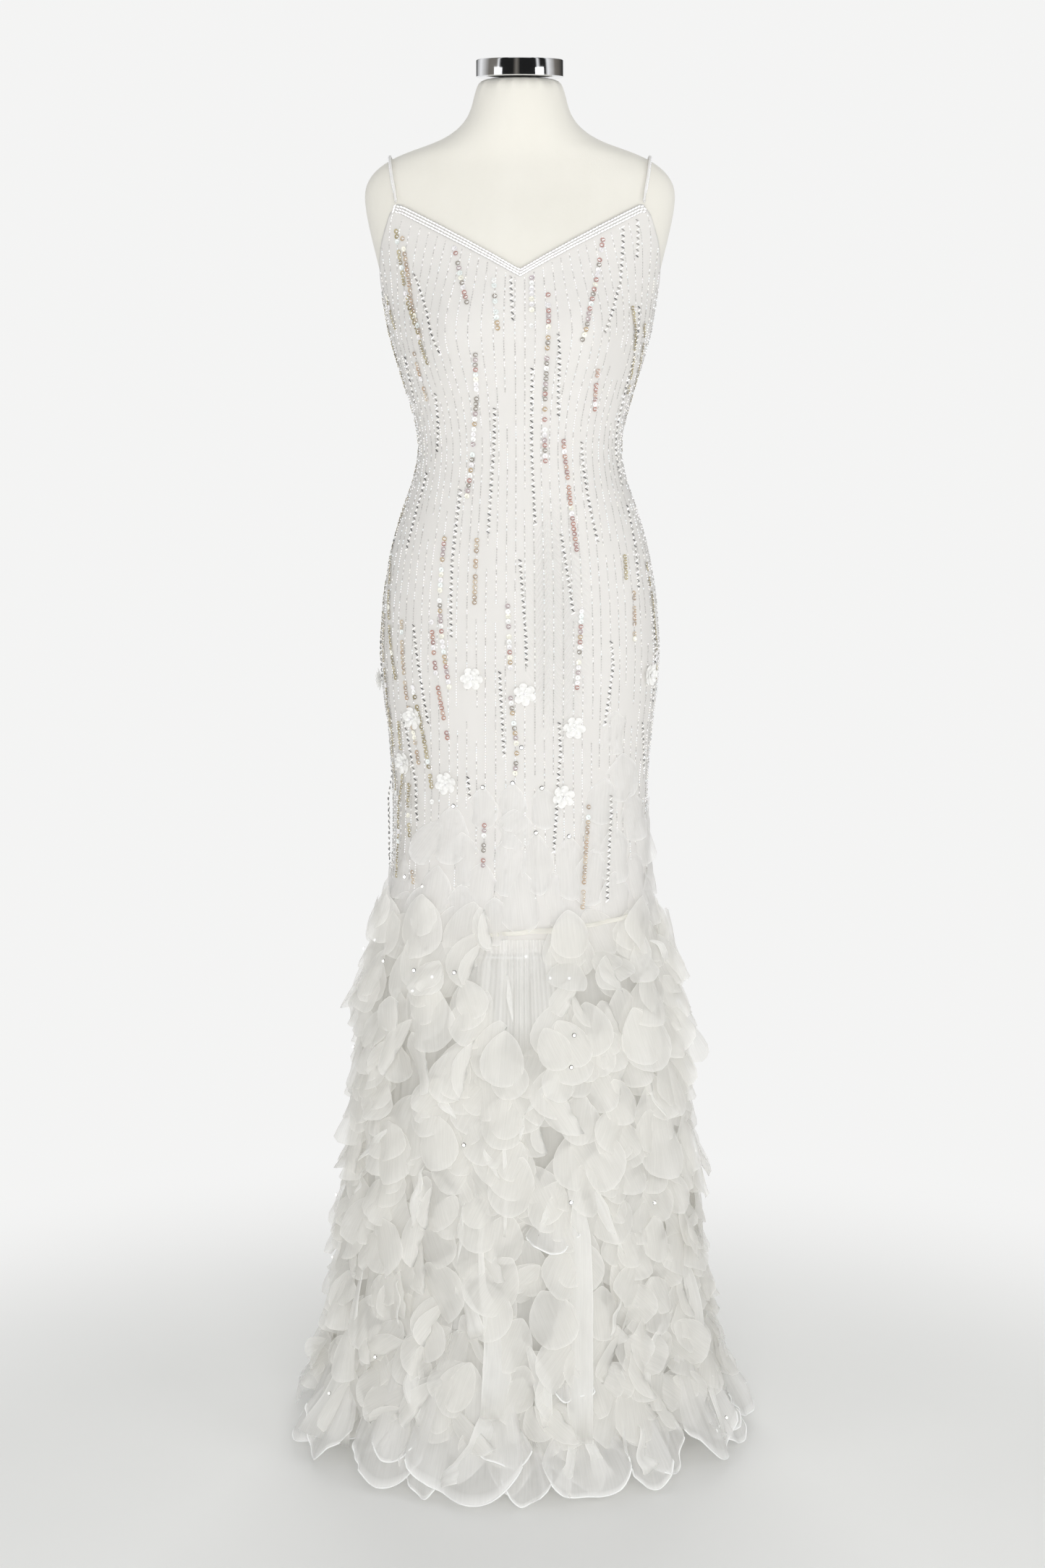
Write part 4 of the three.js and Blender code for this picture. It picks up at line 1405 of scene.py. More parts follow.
# %% Small shapes
def seed_bead(long, wide):
    """An octahedron, which smooth shading makes round."""
    shape = bmesh.new()
    bmesh.ops.create_uvsphere(shape, u_segments=4, v_segments=2, radius=1)
    bmesh.ops.scale(shape, verts=shape.verts, vec=(wide / 2, long / 2, wide / 2))
    return outline_of(shape)


def long_bead(long, wide):
    """A bead that lies along the line it is sewn on."""
    shape = bmesh.new()
    bmesh.ops.create_uvsphere(shape, u_segments=6, v_segments=4, radius=1)
    bmesh.ops.rotate(shape, verts=shape.verts, matrix=Matrix.Rotation(math.pi / 2, 3, "X"))
    bmesh.ops.scale(shape, verts=shape.verts, vec=(wide / 2, long / 2, wide / 2))
    return outline_of(shape)


def cupped_sequin(wide, hole, lean):
    """A thin conical ring. wide is its diameter, hole the share of that which is open."""
    shape = bmesh.new()
    bmesh.ops.create_circle(shape, segments=12, radius=wide / 2)
    inner = bmesh.ops.extrude_edge_only(shape, edges=shape.edges[:])["geom"]
    inner = [v for v in inner if isinstance(v, bmesh.types.BMVert)]
    bmesh.ops.scale(shape, verts=inner, vec=(hole, hole, 1))
    bmesh.ops.translate(shape, verts=inner, vec=(0, 0, -wide * lean))
    bmesh.ops.recalc_face_normals(shape, faces=shape.faces)
    bmesh.ops.translate(shape, verts=shape.verts, vec=(0, 0, wide * lean + 0.0003))
    return outline_of(shape)


def cut_stone(wide):
    """A small faceted stone. Its metal cup is a piece of its own."""
    shape = bmesh.new()
    rim, table, depth = wide / 2, wide * 0.28, wide * 0.45
    bmesh.ops.create_cone(shape, cap_ends=True, segments=8, radius1=rim, radius2=table, depth=depth)
    bmesh.ops.translate(shape, verts=shape.verts, vec=(0, 0, wide * 0.22))
    return outline_of(shape)


# %% The sizes of beads, sequins and stones
SEED = seed_bead(0.0026, 0.0014)
BRIGHT_SEED = seed_bead(0.0028, 0.0019)
BUGLE = long_bead(0.0058, 0.0016)
SHORT_BUGLE = long_bead(0.0052, 0.0017)
SEQUIN = cupped_sequin(0.0057, 0.46, 0.10)
PEARL = cupped_sequin(0.0062, 0.2, 0.08)
STITCH = long_bead(0.0017, 0.0013)
STONE = cut_stone(0.0042)
STONE_CUP = cupped_sequin(0.0058, 0.62, -0.08)
NECK_BEAD = long_bead(0.0044, 0.0021)
STRAP_BEAD = long_bead(0.0036, 0.0022)
HEART_BEAD = long_bead(0.0024, 0.002)
print("the largest bead has", len(BUGLE[1]), "triangles")


# %% Lines on the gown
CLEAR_OF_TOP, CLEAR_OF_SEAM = 0.012, 0.004
WALK_STEPS = 60


def walk(points, pitch):
    """Turns and heights spaced evenly along a line that is given as turns and heights."""
    points = np.array(points, float)
    fine_share = np.linspace(0, len(points) - 1, WALK_STEPS * (len(points) - 1) + 1)
    turn = np.interp(fine_share, np.arange(len(points)), points[:, 0])
    height = np.interp(fine_share, np.arange(len(points)), points[:, 1])
    length = lengths_along(gown.at(turn, height))
    marks = np.arange(0, length[-1], pitch)
    return np.interp(marks, length, turn), np.interp(marks, length, height)


def stacked(rows):
    """The first parts of all the rows, end to end, then their second parts, and so on."""
    return [np.concatenate(parts) for parts in zip(*rows)]


def on_sheath(turn, height):
    """Which places are on the sheath, clear of its top edge and its seam."""
    return (height < top_at(turn) - CLEAR_OF_TOP) & (height > SEAM_Z + CLEAR_OF_SEAM)


def rear(line, drop):
    """The line's twin on the back, where the photograph doesn't show."""
    return [(math.pi - turn, height - drop) for turn, height in line]


# %% Seats for small things
PETALS_BELOW, OVER_PETALS = 0.83, 0.0055


def swung(first, second, angle):
    """Two directions at right angles, swung by an angle in their own plane."""
    angle = np.broadcast_to(angle, len(first))[:, None]
    return first * np.cos(angle) + second * np.sin(angle), second * np.cos(angle) - first * np.sin(angle)


def seats_on(turn, height, out, spin=0.0, tip=0.0, over=0.0):
    """Seats for small things: spin turns each in the cloth's plane, and tip leans it. over is how much
    further out those among the petals of the thigh stand."""
    over = over * np.clip((PETALS_BELOW - np.asarray(height)) / 0.03, 0, 1)
    place, side, up, normal = gown.seat(turn, height, out + over)
    side, up = swung(side, up, spin)
    up, normal = swung(up, normal, tip)
    return place, side, up, normal


def some_of(seats, chosen):
    """The chosen seats."""
    return tuple(part[chosen] for part in seats)


def picked(tints, count):
    """One of the tints, by chance, for each of count things."""
    return tints[random.integers(0, len(tints), count)]


place, side, up, normal = seats_on(np.array([0.0]), np.array([1.2]), 0.0)
print("a seat at the front faces", np.round(normal[0], 2))


# %% Fine lines of seed beads, all over
LINES = 80
PITCH = 0.0031
HIP_Z = 0.95
BELOW_EDGE = 0.012
SEED_OUT, SEQUIN_OUT, BUGLE_OUT = 0.0006, 0.0006, 0.0009
hip_run = lengths_along(gown.at(closed_turns, HIP_Z + 0 * closed_turns))
line_turns = np.interp((np.arange(LINES) + 0.5) / LINES * hip_run[-1], hip_run, closed_turns)
BEAD_TINTS = np.array(
    [(0.93, 0.93, 0.93), (0.97, 0.97, 0.98), (0.9, 0.88, 0.9), (0.92, 0.9, 0.86), (0.86, 0.9, 0.92)]
)
# Grey tints: partly clear glass over the cloth, partly painted shade along each line of beads.
CLEAR_AND_SHADED_TINTS = np.array([(0.64, 0.63, 0.61), (0.72, 0.71, 0.69), (0.56, 0.55, 0.53), (0.48, 0.47, 0.45)])
rows = []
for turn in line_turns:
    height = float(top_at(turn)) - BELOW_EDGE
    foot = SEAM_Z + random.uniform(0.02, 0.13)
    while height > foot:
        stop = max(foot, height - random.uniform(0.1, 0.4))
        drift = random.uniform(-0.012, 0.012)
        along, up = walk([(turn, height), (turn + drift, stop)], PITCH)
        # A share of the beads on each line are white and glow: painted highlights.
        highlight_share = random.uniform(0.25, 0.7)
        rows.append((along, up, random.random(len(along)) < highlight_share))
        height = stop - random.uniform(0.004, 0.04)
bead_turn, bead_height, is_highlight = stacked(rows)
is_front = np.cos(bead_turn) > 0
for side_name, on_side in (("front", is_front), ("back", ~is_front)):
    for kind, shape, finish, tints, chosen in (
        ("seed_beads", SEED, SEED_GLASS, CLEAR_AND_SHADED_TINTS, on_side & ~is_highlight),
        ("seed_beads_painted_highlight", BRIGHT_SEED, GLOWING_SEED_GLASS, BEAD_TINTS, on_side & is_highlight),
    ):
        number = int(chosen.sum())
        seats = seats_on(bead_turn[chosen], bead_height[chosen], SEED_OUT, spread(number, -0.25, 0.25))
        many(f"{kind}_{side_name}", shape, seats, finish, picked(tints, number))
print("seed beads:", len(bead_turn))

# %% [markdown]
# ## Sequins and zigzags where the photograph shows them
# Each line is a few pixels down the front. A ray through each pixel finds its place on the gown, so the
# line lies on the cloth from every side. The back carries the same lines, mirrored, because the photograph
# doesn't show it.

# %% Sequins seen in the photograph
SEQUIN_LINES = [
    ("gold", [(547, 320), (562, 410), (575, 450)]),
    ("gold", [(562, 405), (578, 458), (597, 514)]),
    ("gold", [(534, 405), (552, 468)]),
    ("tan", [(574, 489), (592, 556)]),
    ("gold", [(874, 426), (867, 545)]),
    ("gold", [(536, 470), (556, 560), (563, 590)]),
    ("gold", [(528, 430), (541, 500), (556, 590)]),
    ("tan", [(556, 330), (570, 420), (585, 470)]),
    ("gold", [(552, 610), (549, 680), (536, 740)]),
    ("gold", [(524, 800), (522, 900), (527, 990)]),
    ("gold", [(532, 850), (534, 940), (545, 1030)]),
    ("tan", [(556, 860), (562, 960), (580, 1060)]),
    ("gold", [(890, 450), (880, 520), (862, 600)]),
    ("gold", [(893, 780), (904, 860), (906, 940)]),
    ("mixed", [(627, 337), (646, 422)]),
    ("mixed", [(683, 388), (688, 455)]),
    ("pearl", [(735, 370), (735, 457)]),
    ("mixed", [(758, 408), (757, 480), (754, 540), (754, 640)]),
    ("mixed", [(835, 325), (827, 375), (815, 430), (803, 475)]),
    ("rose", [(826, 512), (822, 570)]),
    ("mixed", [(657, 490), (659, 550), (655, 600), (645, 692)]),
    ("rose", [(779, 610), (784, 655), (789, 700), (797, 760)]),
    ("mixed", [(615, 745), (608, 830), (611, 880), (622, 955)]),
    ("rose", [(597, 860), (604, 940), (619, 1022)]),
    ("tan", [(660, 740), (656, 835)]),
    ("mixed", [(702, 838), (706, 928)]),
    ("mixed", [(804, 845), (797, 960)]),
    ("tan", [(876, 820), (877, 890)]),
    ("mixed", [(706, 965), (715, 1035), (712, 1072)]),
    ("gold", [(571, 950), (590, 1040), (600, 1112)]),
    ("gold", [(565, 690), (545, 740), (540, 800), (548, 940)]),
    ("gold", [(534, 955), (545, 1060), (552, 1100)]),
    ("gold", [(552, 1000), (555, 1210)]),
    ("gold", [(567, 1085), (572, 1155)]),
    ("tan", [(575, 1205), (577, 1225)]),
    ("mixed", [(671, 1140), (669, 1200)]),
    ("tan", [(812, 1115), (803, 1255)]),
    ("gold", [(864, 770), (866, 805)]),
]
print("lines of sequins in view:", len(SEQUIN_LINES))

# %% Zigzags seen in the photograph
ZIGZAG_LINES = [
    [(573, 380), (590, 430), (610, 492)],
    [(706, 375), (709, 445)],
    [(862, 310), (858, 390), (836, 460)],
    [(882, 305), (881, 357)],
    [(883, 425), (864, 540), (850, 620), (861, 672)],
    [(773, 463), (772, 575)],
    [(736, 510), (735, 620), (740, 728)],
    [(684, 565), (680, 660), (675, 738)],
    [(603, 545), (605, 625)],
    [(561, 495), (575, 560)],
    [(637, 678), (625, 780), (624, 880)],
    [(590, 655), (562, 760)],
    [(804, 612), (817, 710), (827, 752)],
    [(776, 740), (793, 850)],
    [(719, 775), (727, 880), (728, 920)],
    [(691, 930), (697, 1048)],
    [(572, 865), (592, 1000)],
    [(845, 888), (848, 920), (836, 1002)],
    [(773, 1000), (775, 1040), (764, 1180)],
    [(560, 1000), (582, 1135)],
    [(542, 1100), (545, 1185)],
    [(647, 1075), (650, 1105)],
    [(867, 700), (883, 815)],
    [(902, 845), (902, 970)],
    [(888, 1000), (890, 1065)],
    [(843, 1100), (836, 1245)],
    [(538, 740), (533, 780)],
    [(524, 880), (526, 940)],
]
print("lines of zigzags in view:", len(ZIGZAG_LINES))

# %% Colours of sequins and silver beads
FILM_TINTS = {
    "gold": [(0.32, 0.25, 0.1), (0.4, 0.33, 0.16), (0.25, 0.2, 0.09), (0.48, 0.41, 0.23)],
    "rose": [(0.42, 0.19, 0.14), (0.47, 0.25, 0.18), (0.36, 0.19, 0.17), (0.52, 0.34, 0.26)],
    "tan": [(0.46, 0.31, 0.19), (0.52, 0.4, 0.27), (0.38, 0.28, 0.19), (0.57, 0.47, 0.34)],
    "mixed": [(0.42, 0.21, 0.18), (0.28, 0.25, 0.21), (0.47, 0.34, 0.19), (0.42, 0.33, 0.34)],
    "pearl": [(0.45, 0.4, 0.36), (0.5, 0.47, 0.4), (0.5, 0.42, 0.45), (0.45, 0.45, 0.4)],
}
PEARL_SHARE = {"gold": 0.1, "rose": 0.2, "tan": 0.16, "mixed": 0.42, "pearl": 0.75}
PEARL_TINTS = np.array([(0.92, 0.92, 0.9), (0.84, 0.89, 0.87), (0.92, 0.9, 0.78), (0.88, 0.86, 0.87)])
# Silver tints from white to near black: painted highlights and painted shade on the facets of silver beads.
SILVER_LIT_AND_SHADED_TINTS = np.array([(0.95, 0.95, 0.95), (0.84, 0.83, 0.8), (0.46, 0.45, 0.43), (0.2, 0.2, 0.2)])
print("kinds of sequin line:", len(FILM_TINTS))

# %% The lines on the gown, and mirrored on the back
BACK_DROP = 0.03
seen_sequins = [(colour, [seen_at(*pixel) for pixel in line]) for colour, line in SEQUIN_LINES]
seen_zigzags = [[seen_at(*pixel) for pixel in line] for line in ZIGZAG_LINES]
sequin_lines = seen_sequins + [(colour, rear(line, BACK_DROP)) for colour, line in seen_sequins]
zigzag_lines = seen_zigzags + [rear(line, BACK_DROP) for line in seen_zigzags]
print("lines of sequins:", len(sequin_lines), "and of zigzags:", len(zigzag_lines))

# %% Cup sequins, with the stitch that holds each one
SEQUIN_PITCH, SEWN_SHARE = 0.0060, 0.88
STITCH_ASIDE, STITCH_OUT = 0.0014, 0.0012
rows = []
for colour, line in sequin_lines:
    along, up = walk(line, SEQUIN_PITCH)
    fits = on_sheath(along, up) & (random.random(len(along)) < SEWN_SHARE)
    along, up = along[fits], up[fits]
    pearls = random.random(len(along)) < PEARL_SHARE[colour]
    films = picked(np.array(FILM_TINTS[colour]), len(along))
    whites = picked(PEARL_TINTS, len(along))
    rows.append((along, up, pearls, np.where(pearls[:, None], whites, films)))
turn, height, is_pearl, tint = stacked(rows)
side_of_stitch = np.where(random.random(len(turn)) < 0.8, 0.0, math.pi)
seats = seats_on(turn, height, SEQUIN_OUT, side_of_stitch, spread(len(turn), -0.25, 0.25), OVER_PETALS)
for name, shape, finish, chosen in (
    ("cup_sequins", SEQUIN, SEQUIN_FILM, ~is_pearl),
    ("pearl_sequins", PEARL, GLOWING_PEARL_FILM, is_pearl),
):
    many(name, shape, some_of(seats, chosen), finish, tint[chosen], smooth=False)
place, side, up, normal = some_of(seats, ~is_pearl)
stitch_seats = (place + side * STITCH_ASIDE + normal * STITCH_OUT, up, side, normal)
# The stitches are white and glow: a painted highlight.
white = np.ones((len(place), 3)) * 0.93
many("sequin_stitches", STITCH, stitch_seats, GLOWING_GLASS, white)
print("sequins:", len(turn))

# %% Silver zigzags
ZIGZAG_PITCH = 0.0034
LEFT_SLANT, RIGHT_SLANT = 0.95, -1.0
rows = []
for line in zigzag_lines:
    along, up = walk(line, ZIGZAG_PITCH)
    fits = on_sheath(along, up)
    # Beads sewn one way get dark tints, painted shade; those sewn the other way get white ones, painted
    # highlights, and glow.
    is_left = np.arange(len(along)) % 2 == 0
    dark, bright = picked(SILVER_LIT_AND_SHADED_TINTS[2:], len(along)), picked(SILVER_LIT_AND_SHADED_TINTS[:2], len(along))
    tint = np.where(is_left[:, None], dark, bright)
    rows.append((along[fits], up[fits], np.where(is_left, LEFT_SLANT, RIGHT_SLANT)[fits], tint[fits]))
turn, height, slant, tint = stacked(rows)
spin, tip = slant + spread(len(turn), -0.2, 0.2), spread(len(turn), -0.2, 0.2)
seats = seats_on(turn, height, BUGLE_OUT, spin, tip, OVER_PETALS)
is_dark = tint[:, 0] < 0.5
for name, shape, finish, chosen in (
    ("dark_bugles", SHORT_BUGLE, SILVER_GLASS, is_dark),
    ("bright_bugles", BUGLE, GLOWING_GLASS, ~is_dark),
):
    many(name, shape, some_of(seats, chosen), finish, tint[chosen], smooth=False)
print("silver beads:", len(turn))

# %% Single stones at the petals' points
SEEN_STONES = [
    (668, 1088), (709, 1082), (749, 1089), (721, 1033), (628, 1114), (563, 1212),
    (587, 1225), (741, 1151), (786, 1156), (532, 1287), (524, 1316), (545, 1310),
    (563, 1328), (598, 1338), (620, 1347), (641, 1341), (595, 1366), (727, 1324),
    (787, 1313), (778, 1349), (757, 1350), (932, 1445), (785, 1429), (779, 1472),
    (651, 1578), (779, 1654), (886, 1657), (500, 1924), (967, 1963), (537, 1872),
]
MORE_STONES = 0.12
STONE_OUT_BELOW, STONE_OUT_ABOVE = 0.024, 0.004
stone_roots = np.array([seen_at(*pixel) for pixel in SEEN_STONES])
more = roots[random.random(len(roots)) < MORE_STONES]
stone_roots = np.vstack([stone_roots, more[np.cos(more[:, 0]) < 0.2]])
outward = np.where(stone_roots[:, 1] < SEAM_Z, STONE_OUT_BELOW, STONE_OUT_ABOVE)
seats = crests.seat(stone_roots[:, 0], stone_roots[:, 1], outward)
# The stones get the white tints and a strong glow: a painted highlight. Their cups get a dimmer copy of the
# same tints.
tint = picked(SILVER_LIT_AND_SHADED_TINTS[:2], len(stone_roots))
many("single_stones", STONE, seats, GLOWING_STONE_GLASS, tint, smooth=False)
many("stone_cups", STONE_CUP, seats, SILVER_GLASS, 0.6 * tint, smooth=True)
print("stones:", len(stone_roots))

# %% [markdown]
# ## Neckline and straps
# The neckline is bound with three rows of long glass beads laid end to end, on a narrow band of the cloth.
# Each strap is two such rows on cords. The bands and cords follow the solids of the bindings and straps,
# and the beads are set on them by walking along each row.


# %% Bound neckline
BINDING, BINDING_BULGE = 0.009, 0.0012
BINDING_OUT, ROW_OUT = OVER_FORM + 0.0004, OVER_FORM + 0.0022
BEAD_ROWS, ROW_PITCH = (0.0016, 0.0046, 0.0076), 0.0042
SLOPE_REACH = 0.01


def binding_band(name, node, start, end, columns):
    """A band of cloth along the top edge, between two directions in degrees."""
    start, end = math.radians(start), math.radians(end)

    def where(across, up):
        turn = start + (end - start) * across
        place = top_at(turn) - BINDING * (1 - up)
        bulge = BINDING_BULGE * np.sin(up * math.pi)
        return figure.seat(turn, place, BINDING_OUT + bulge)[0]

    size = (0.2 * (end - start), BINDING)
    made = cloth(name, columns, 8, where, BINDING_CLOTH, size)
    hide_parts(node)
    return made


front_box, back_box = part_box("binding_front"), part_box("binding_back_right")
front_reach = math.degrees(math.atan2(front_box[1].x, -front_box[1].y))
strap_back = math.degrees(math.atan2(back_box[1].x, -back_box[0].y))
neck_bands = [
    binding_band("neck_band_front", "binding_front", -front_reach, front_reach, 160),
    binding_band("neck_band_back_right", "binding_back_right", strap_back, 180, 60),
    binding_band("neck_band_back_left", "binding_back_left", 180, 360 - strap_back, 60),
]
print("neck bands:", len(neck_bands))

# %% Beads of the neckline
rows = []
for start, end in ((-front_reach, front_reach), (strap_back, 360 - strap_back)):
    fine = np.radians(np.linspace(start, end, 200))
    for drop in BEAD_ROWS:
        line = list(zip(fine, top_at(fine) - drop))
        rows.append(walk(line[::4] + line[-1:], ROW_PITCH))
turn, height = stacked(rows)
rise = top_at(turn + SLOPE_REACH) - top_at(turn - SLOPE_REACH)
slope = rise / (2 * SLOPE_REACH * gown.radius(turn, height))
place, side, up, normal = figure.seat(turn, height, 0 * turn + ROW_OUT)
side, up = swung(side, up, np.arctan(slope) - math.pi / 2 + spread(len(turn), -0.1, 0.1))
tint = picked(BEAD_TINTS[:3], len(turn))
# The neckline beads glow: a painted glow on white glass.
many("neckline_beads", NECK_BEAD, (place, side, up, normal), GLOWING_GLASS, tint)
print("neckline beads:", len(turn))


# %% Reading a strap off its solid
PIVOT_Y, PIVOT_Z = 0.008, 1.475


def strap_lines(node):
    """The two edges of a strap's outer face, from front to back, read off its solid."""
    shape = bmesh.new()
    shape.from_mesh(nodes[node].data)
    bmesh.ops.remove_doubles(shape, verts=shape.verts, dist=MERGE)
    points = np.array([v.co for v in shape.verts])
    shape.free()
    angle = np.arctan2(points[:, 2] - PIVOT_Z, points[:, 1] - PIVOT_Y)
    reach = np.linalg.norm(points[:, 1:] - np.array([PIVOT_Y, PIVOT_Z]), axis=1)
    order = np.argsort(-angle)
    outer = []
    for step in (order[k : k + 4] for k in range(0, len(order), 4)):
        far = sorted(step, key=lambda k: -reach[k])[:2]
        far = sorted(far, key=lambda k: points[k][0])
        outer.append(points[far])
    return np.array(outer)


def values_at(marks, run, values):
    """Vectors known at each place of a run, read off at the marks."""
    return np.column_stack([np.interp(marks, run, values[:, k]) for k in range(3)])


# %% Strap cords and their beads
CORD_RADIUS, CORD_ASIDE, CORD_INSET = 0.0015, 0.0019, 0.0008
STRAP_PITCH, FIRST_BEAD, BEAD_OUT = 0.0038, 0.002, 0.0012
for node in ("strap_left", "strap_right"):
    edges = strap_lines(node)
    middle = edges.mean(1)
    across = unit(edges[:, 1] - edges[:, 0])
    along = unit(np.gradient(middle, axis=0))
    outward = unit(np.cross(across, along))
    from_pivot = middle - np.array([middle[0, 0], PIVOT_Y, PIVOT_Z])
    outward *= np.sign((outward * from_pivot).sum(1))[:, None]
    rows = []
    for end, offset in (("inner", -CORD_ASIDE), ("outer", CORD_ASIDE)):
        line = middle + across * offset - outward * CORD_INSET
        cord_piece(f"{node}_cord_{end}", line, CORD_RADIUS, STRAP_CORD, sides=8)
        run = lengths_along(line)
        marks = np.arange(FIRST_BEAD, run[-1], STRAP_PITCH)
        bead_place = values_at(marks, run, line + outward * BEAD_OUT)
        ways = [unit(values_at(marks, run, way)) for way in (across, along, outward)]
        rows.append((bead_place, *ways))
    seats = stacked(rows)
    tint = picked(BEAD_TINTS[:3], len(seats[0]))
    beads = many(f"{node}_beads", STRAP_BEAD, seats, SEED_GLASS, tint)
    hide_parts(node)
    print(node, "has", len(seats[0]), "beads and is", round(float(run[-1]), 3), "m long")

# %% [markdown]
# ## Rosettes
# A rosette is a strip of organza gathered into loops round its middle. Three rings of small curled loops
# and a few beads give it. Each is placed where its solid is, flat on the cloth.


# %% One rosette
HEART_RADIUS = 0.0008
ROSETTE_OUT, HEART_OUT = 0.0008, 0.0058
HEART_BEADS = 5
ROSETTE_RINGS = [
    # loops, radius, height in the middle, height at the edge
    (6, 0.0136, 0.0006, 0.0042),
    (6, 0.0100, 0.0022, 0.0062),
    (5, 0.0062, 0.0038, 0.0078),
]


def rosette_shape():
    """Rings of gathered loops, as points with x and y in the cloth's plane."""
    points, faces = grid_shape(84, 6)
    turn, outward = 2 * math.pi * points[:, 0], points[:, 1]
    all_points, all_faces, edges = [], [], []
    for ring, (loops, radius, middle, edge) in enumerate(ROSETTE_RINGS):
        loop = np.abs(np.cos(loops * turn / 2 + ring * 0.8))
        reach = radius * (0.6 + 0.4 * loop**0.45 + 0.03 * np.sin(3 * turn + ring))
        cup = middle + (edge - middle) * outward**1.6 * (0.25 + 0.75 * loop)
        cup = cup + 0.0005 * np.sin(42 * turn) * outward
        cup = cup + 0.0016 * np.sin(outward * math.pi) * loop
        across = HEART_RADIUS + (reach - HEART_RADIUS) * outward
        all_faces.append(faces + len(points) * ring)
        all_points.append(np.column_stack([across * np.sin(turn), across * np.cos(turn), cup]))
        edges.append(np.clip((outward - 0.85) / 0.15, 0, 1))
    return np.vstack(all_points), np.vstack(all_faces), np.concatenate(edges)


ROSETTE_POINTS, ROSETTE_FACES, ROSETTE_EDGES = rosette_shape()
print("a rosette has", len(ROSETTE_FACES), "triangles")

# %% Every rosette, with beads in its heart
rosette_nodes = sorted(name for name in nodes if name.startswith("rosette_"))
centres = np.array([sum(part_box(name), Vector()) / 2 for name in rosette_nodes])
turn = np.arctan2(centres[:, 0], -centres[:, 1])
height = centres[:, 2]
seats = seats_on(turn, height, ROSETTE_OUT, spread(len(turn), 0, 6), 0.0, OVER_PETALS)
rosettes = many("rosettes", (ROSETTE_POINTS, ROSETTE_FACES), seats, ROSETTE_CLOTH)
give(rosettes.data, "edge", np.tile(ROSETTE_EDGES, len(turn)))
flat_map(rosettes.data, np.tile(ROSETTE_POINTS[:, :2], (len(turn), 1)))
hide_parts(*rosette_nodes)
hearts = HEART_BEADS * len(turn)
heart_turn = np.repeat(turn, HEART_BEADS) + spread(hearts, -0.012, 0.012)
heart_height = np.repeat(height, HEART_BEADS) + spread(hearts, -0.002, 0.002)
seats = seats_on(heart_turn, heart_height, HEART_OUT, spread(hearts, 0, 6), 0.0, OVER_PETALS)
many("rosette_hearts", HEART_BEAD, seats, SEED_GLASS, picked(BEAD_TINTS[:3], hearts))
print("rosettes:", len(turn))

# %% [markdown]
# ## The studio
# A pale floor that fades into pale air, so that it looks the same from every side, and large soft lights.
# The air that lights the gown has a few dark bands round the horizon, because polished metal and glass only
# look polished when they have something dark to reflect. The camera sees plain air instead of the bands.

# %% Floor
HAZE = 0.905
HAZE_COLOUR = (HAZE, HAZE, HAZE * 0.995, 1)
NEAR_DARK, NEAR_LIGHT = (0.76, 0.76, 0.747, 1), (0.79, 0.79, 0.776, 1)
FADE_CENTRE, FADE_START, FADE_END = (0, -0.6, 0), 0.8, 1.6
FLOOR_RADIUS = 150
paper = Finish("studio_paper", Roughness=0.9, Emission_Strength=1.0, Specular_IOR_Level=0.0)
place = paper.object_place()
grain = paper.noise(place, (3, 3, 3), 2.0)


def ring_mask(centre, start, end):
    """0 within start metres of a point on the floor, and 1 beyond end metres."""
    between = {0: place, 1: centre}
    distance = paper.node("ShaderNodeVectorMath", {"operation": "DISTANCE"}, between, output=1)
    limits = {"Value": distance, "From Min": start, "From Max": end}
    return paper.node("ShaderNodeMapRange", {"interpolation_type": "SMOOTHSTEP"}, limits)


far = ring_mask(FADE_CENTRE, FADE_START, FADE_END)
near_paper = paper.blend(grain, NEAR_DARK, NEAR_LIGHT)
paper.set("Base Color", paper.blend(far, near_paper, (0, 0, 0, 1)))
paper.set("Emission Color", paper.blend(far, (0.06, 0.06, 0.058, 1), HAZE_COLOUR))
floor_shape = bmesh.new()
bmesh.ops.create_circle(floor_shape, cap_ends=True, segments=96, radius=FLOOR_RADIUS)
floor_mesh = bpy.data.meshes.new("studio_floor")
floor_shape.to_mesh(floor_mesh)
floor_shape.free()
floor_mesh.materials.append(paper.material)
floor = bpy.data.objects.new("studio_floor", floor_mesh)
scene.collection.objects.link(floor)

# %% Lights
LIGHTS = [
    # name, place, the height it is aimed at, size, power, and whether polished things reflect it
    ("left_softbox", (-2.9, -1.7, 1.7), 1.0, 1.4, 8, True),
    ("right_softbox", (2.7, -2.0, 1.7), 1.0, 1.4, 17, True),
    ("front_softbox", (0.3, -3.9, 1.8), 1.0, 2.4, 44, False),
    ("low_softbox", (0.0, -3.0, 0.7), 0.3, 1.6, 19, False),
    ("top_softbox", (0.0, -0.8, 3.6), 1.0, 2.2, 10, True),
    ("back_softbox", (0.0, 3.2, 2.4), 1.0, 2.4, 54, False),
]
for name, place, aim, size, power, is_reflected in LIGHTS:
    light = bpy.data.lights.new(name, "AREA")
    light.size = size
    light.energy = power
    lamp = bpy.data.objects.new(name, light)
    lamp.location = place
    lamp.rotation_mode = "QUATERNION"
    lamp.rotation_quaternion = (Vector((0, 0, aim)) - Vector(place)).to_track_quat("-Z", "Y")
    lamp.visible_glossy = is_reflected
    scene.collection.objects.link(lamp)
print("lights:", len(LIGHTS))

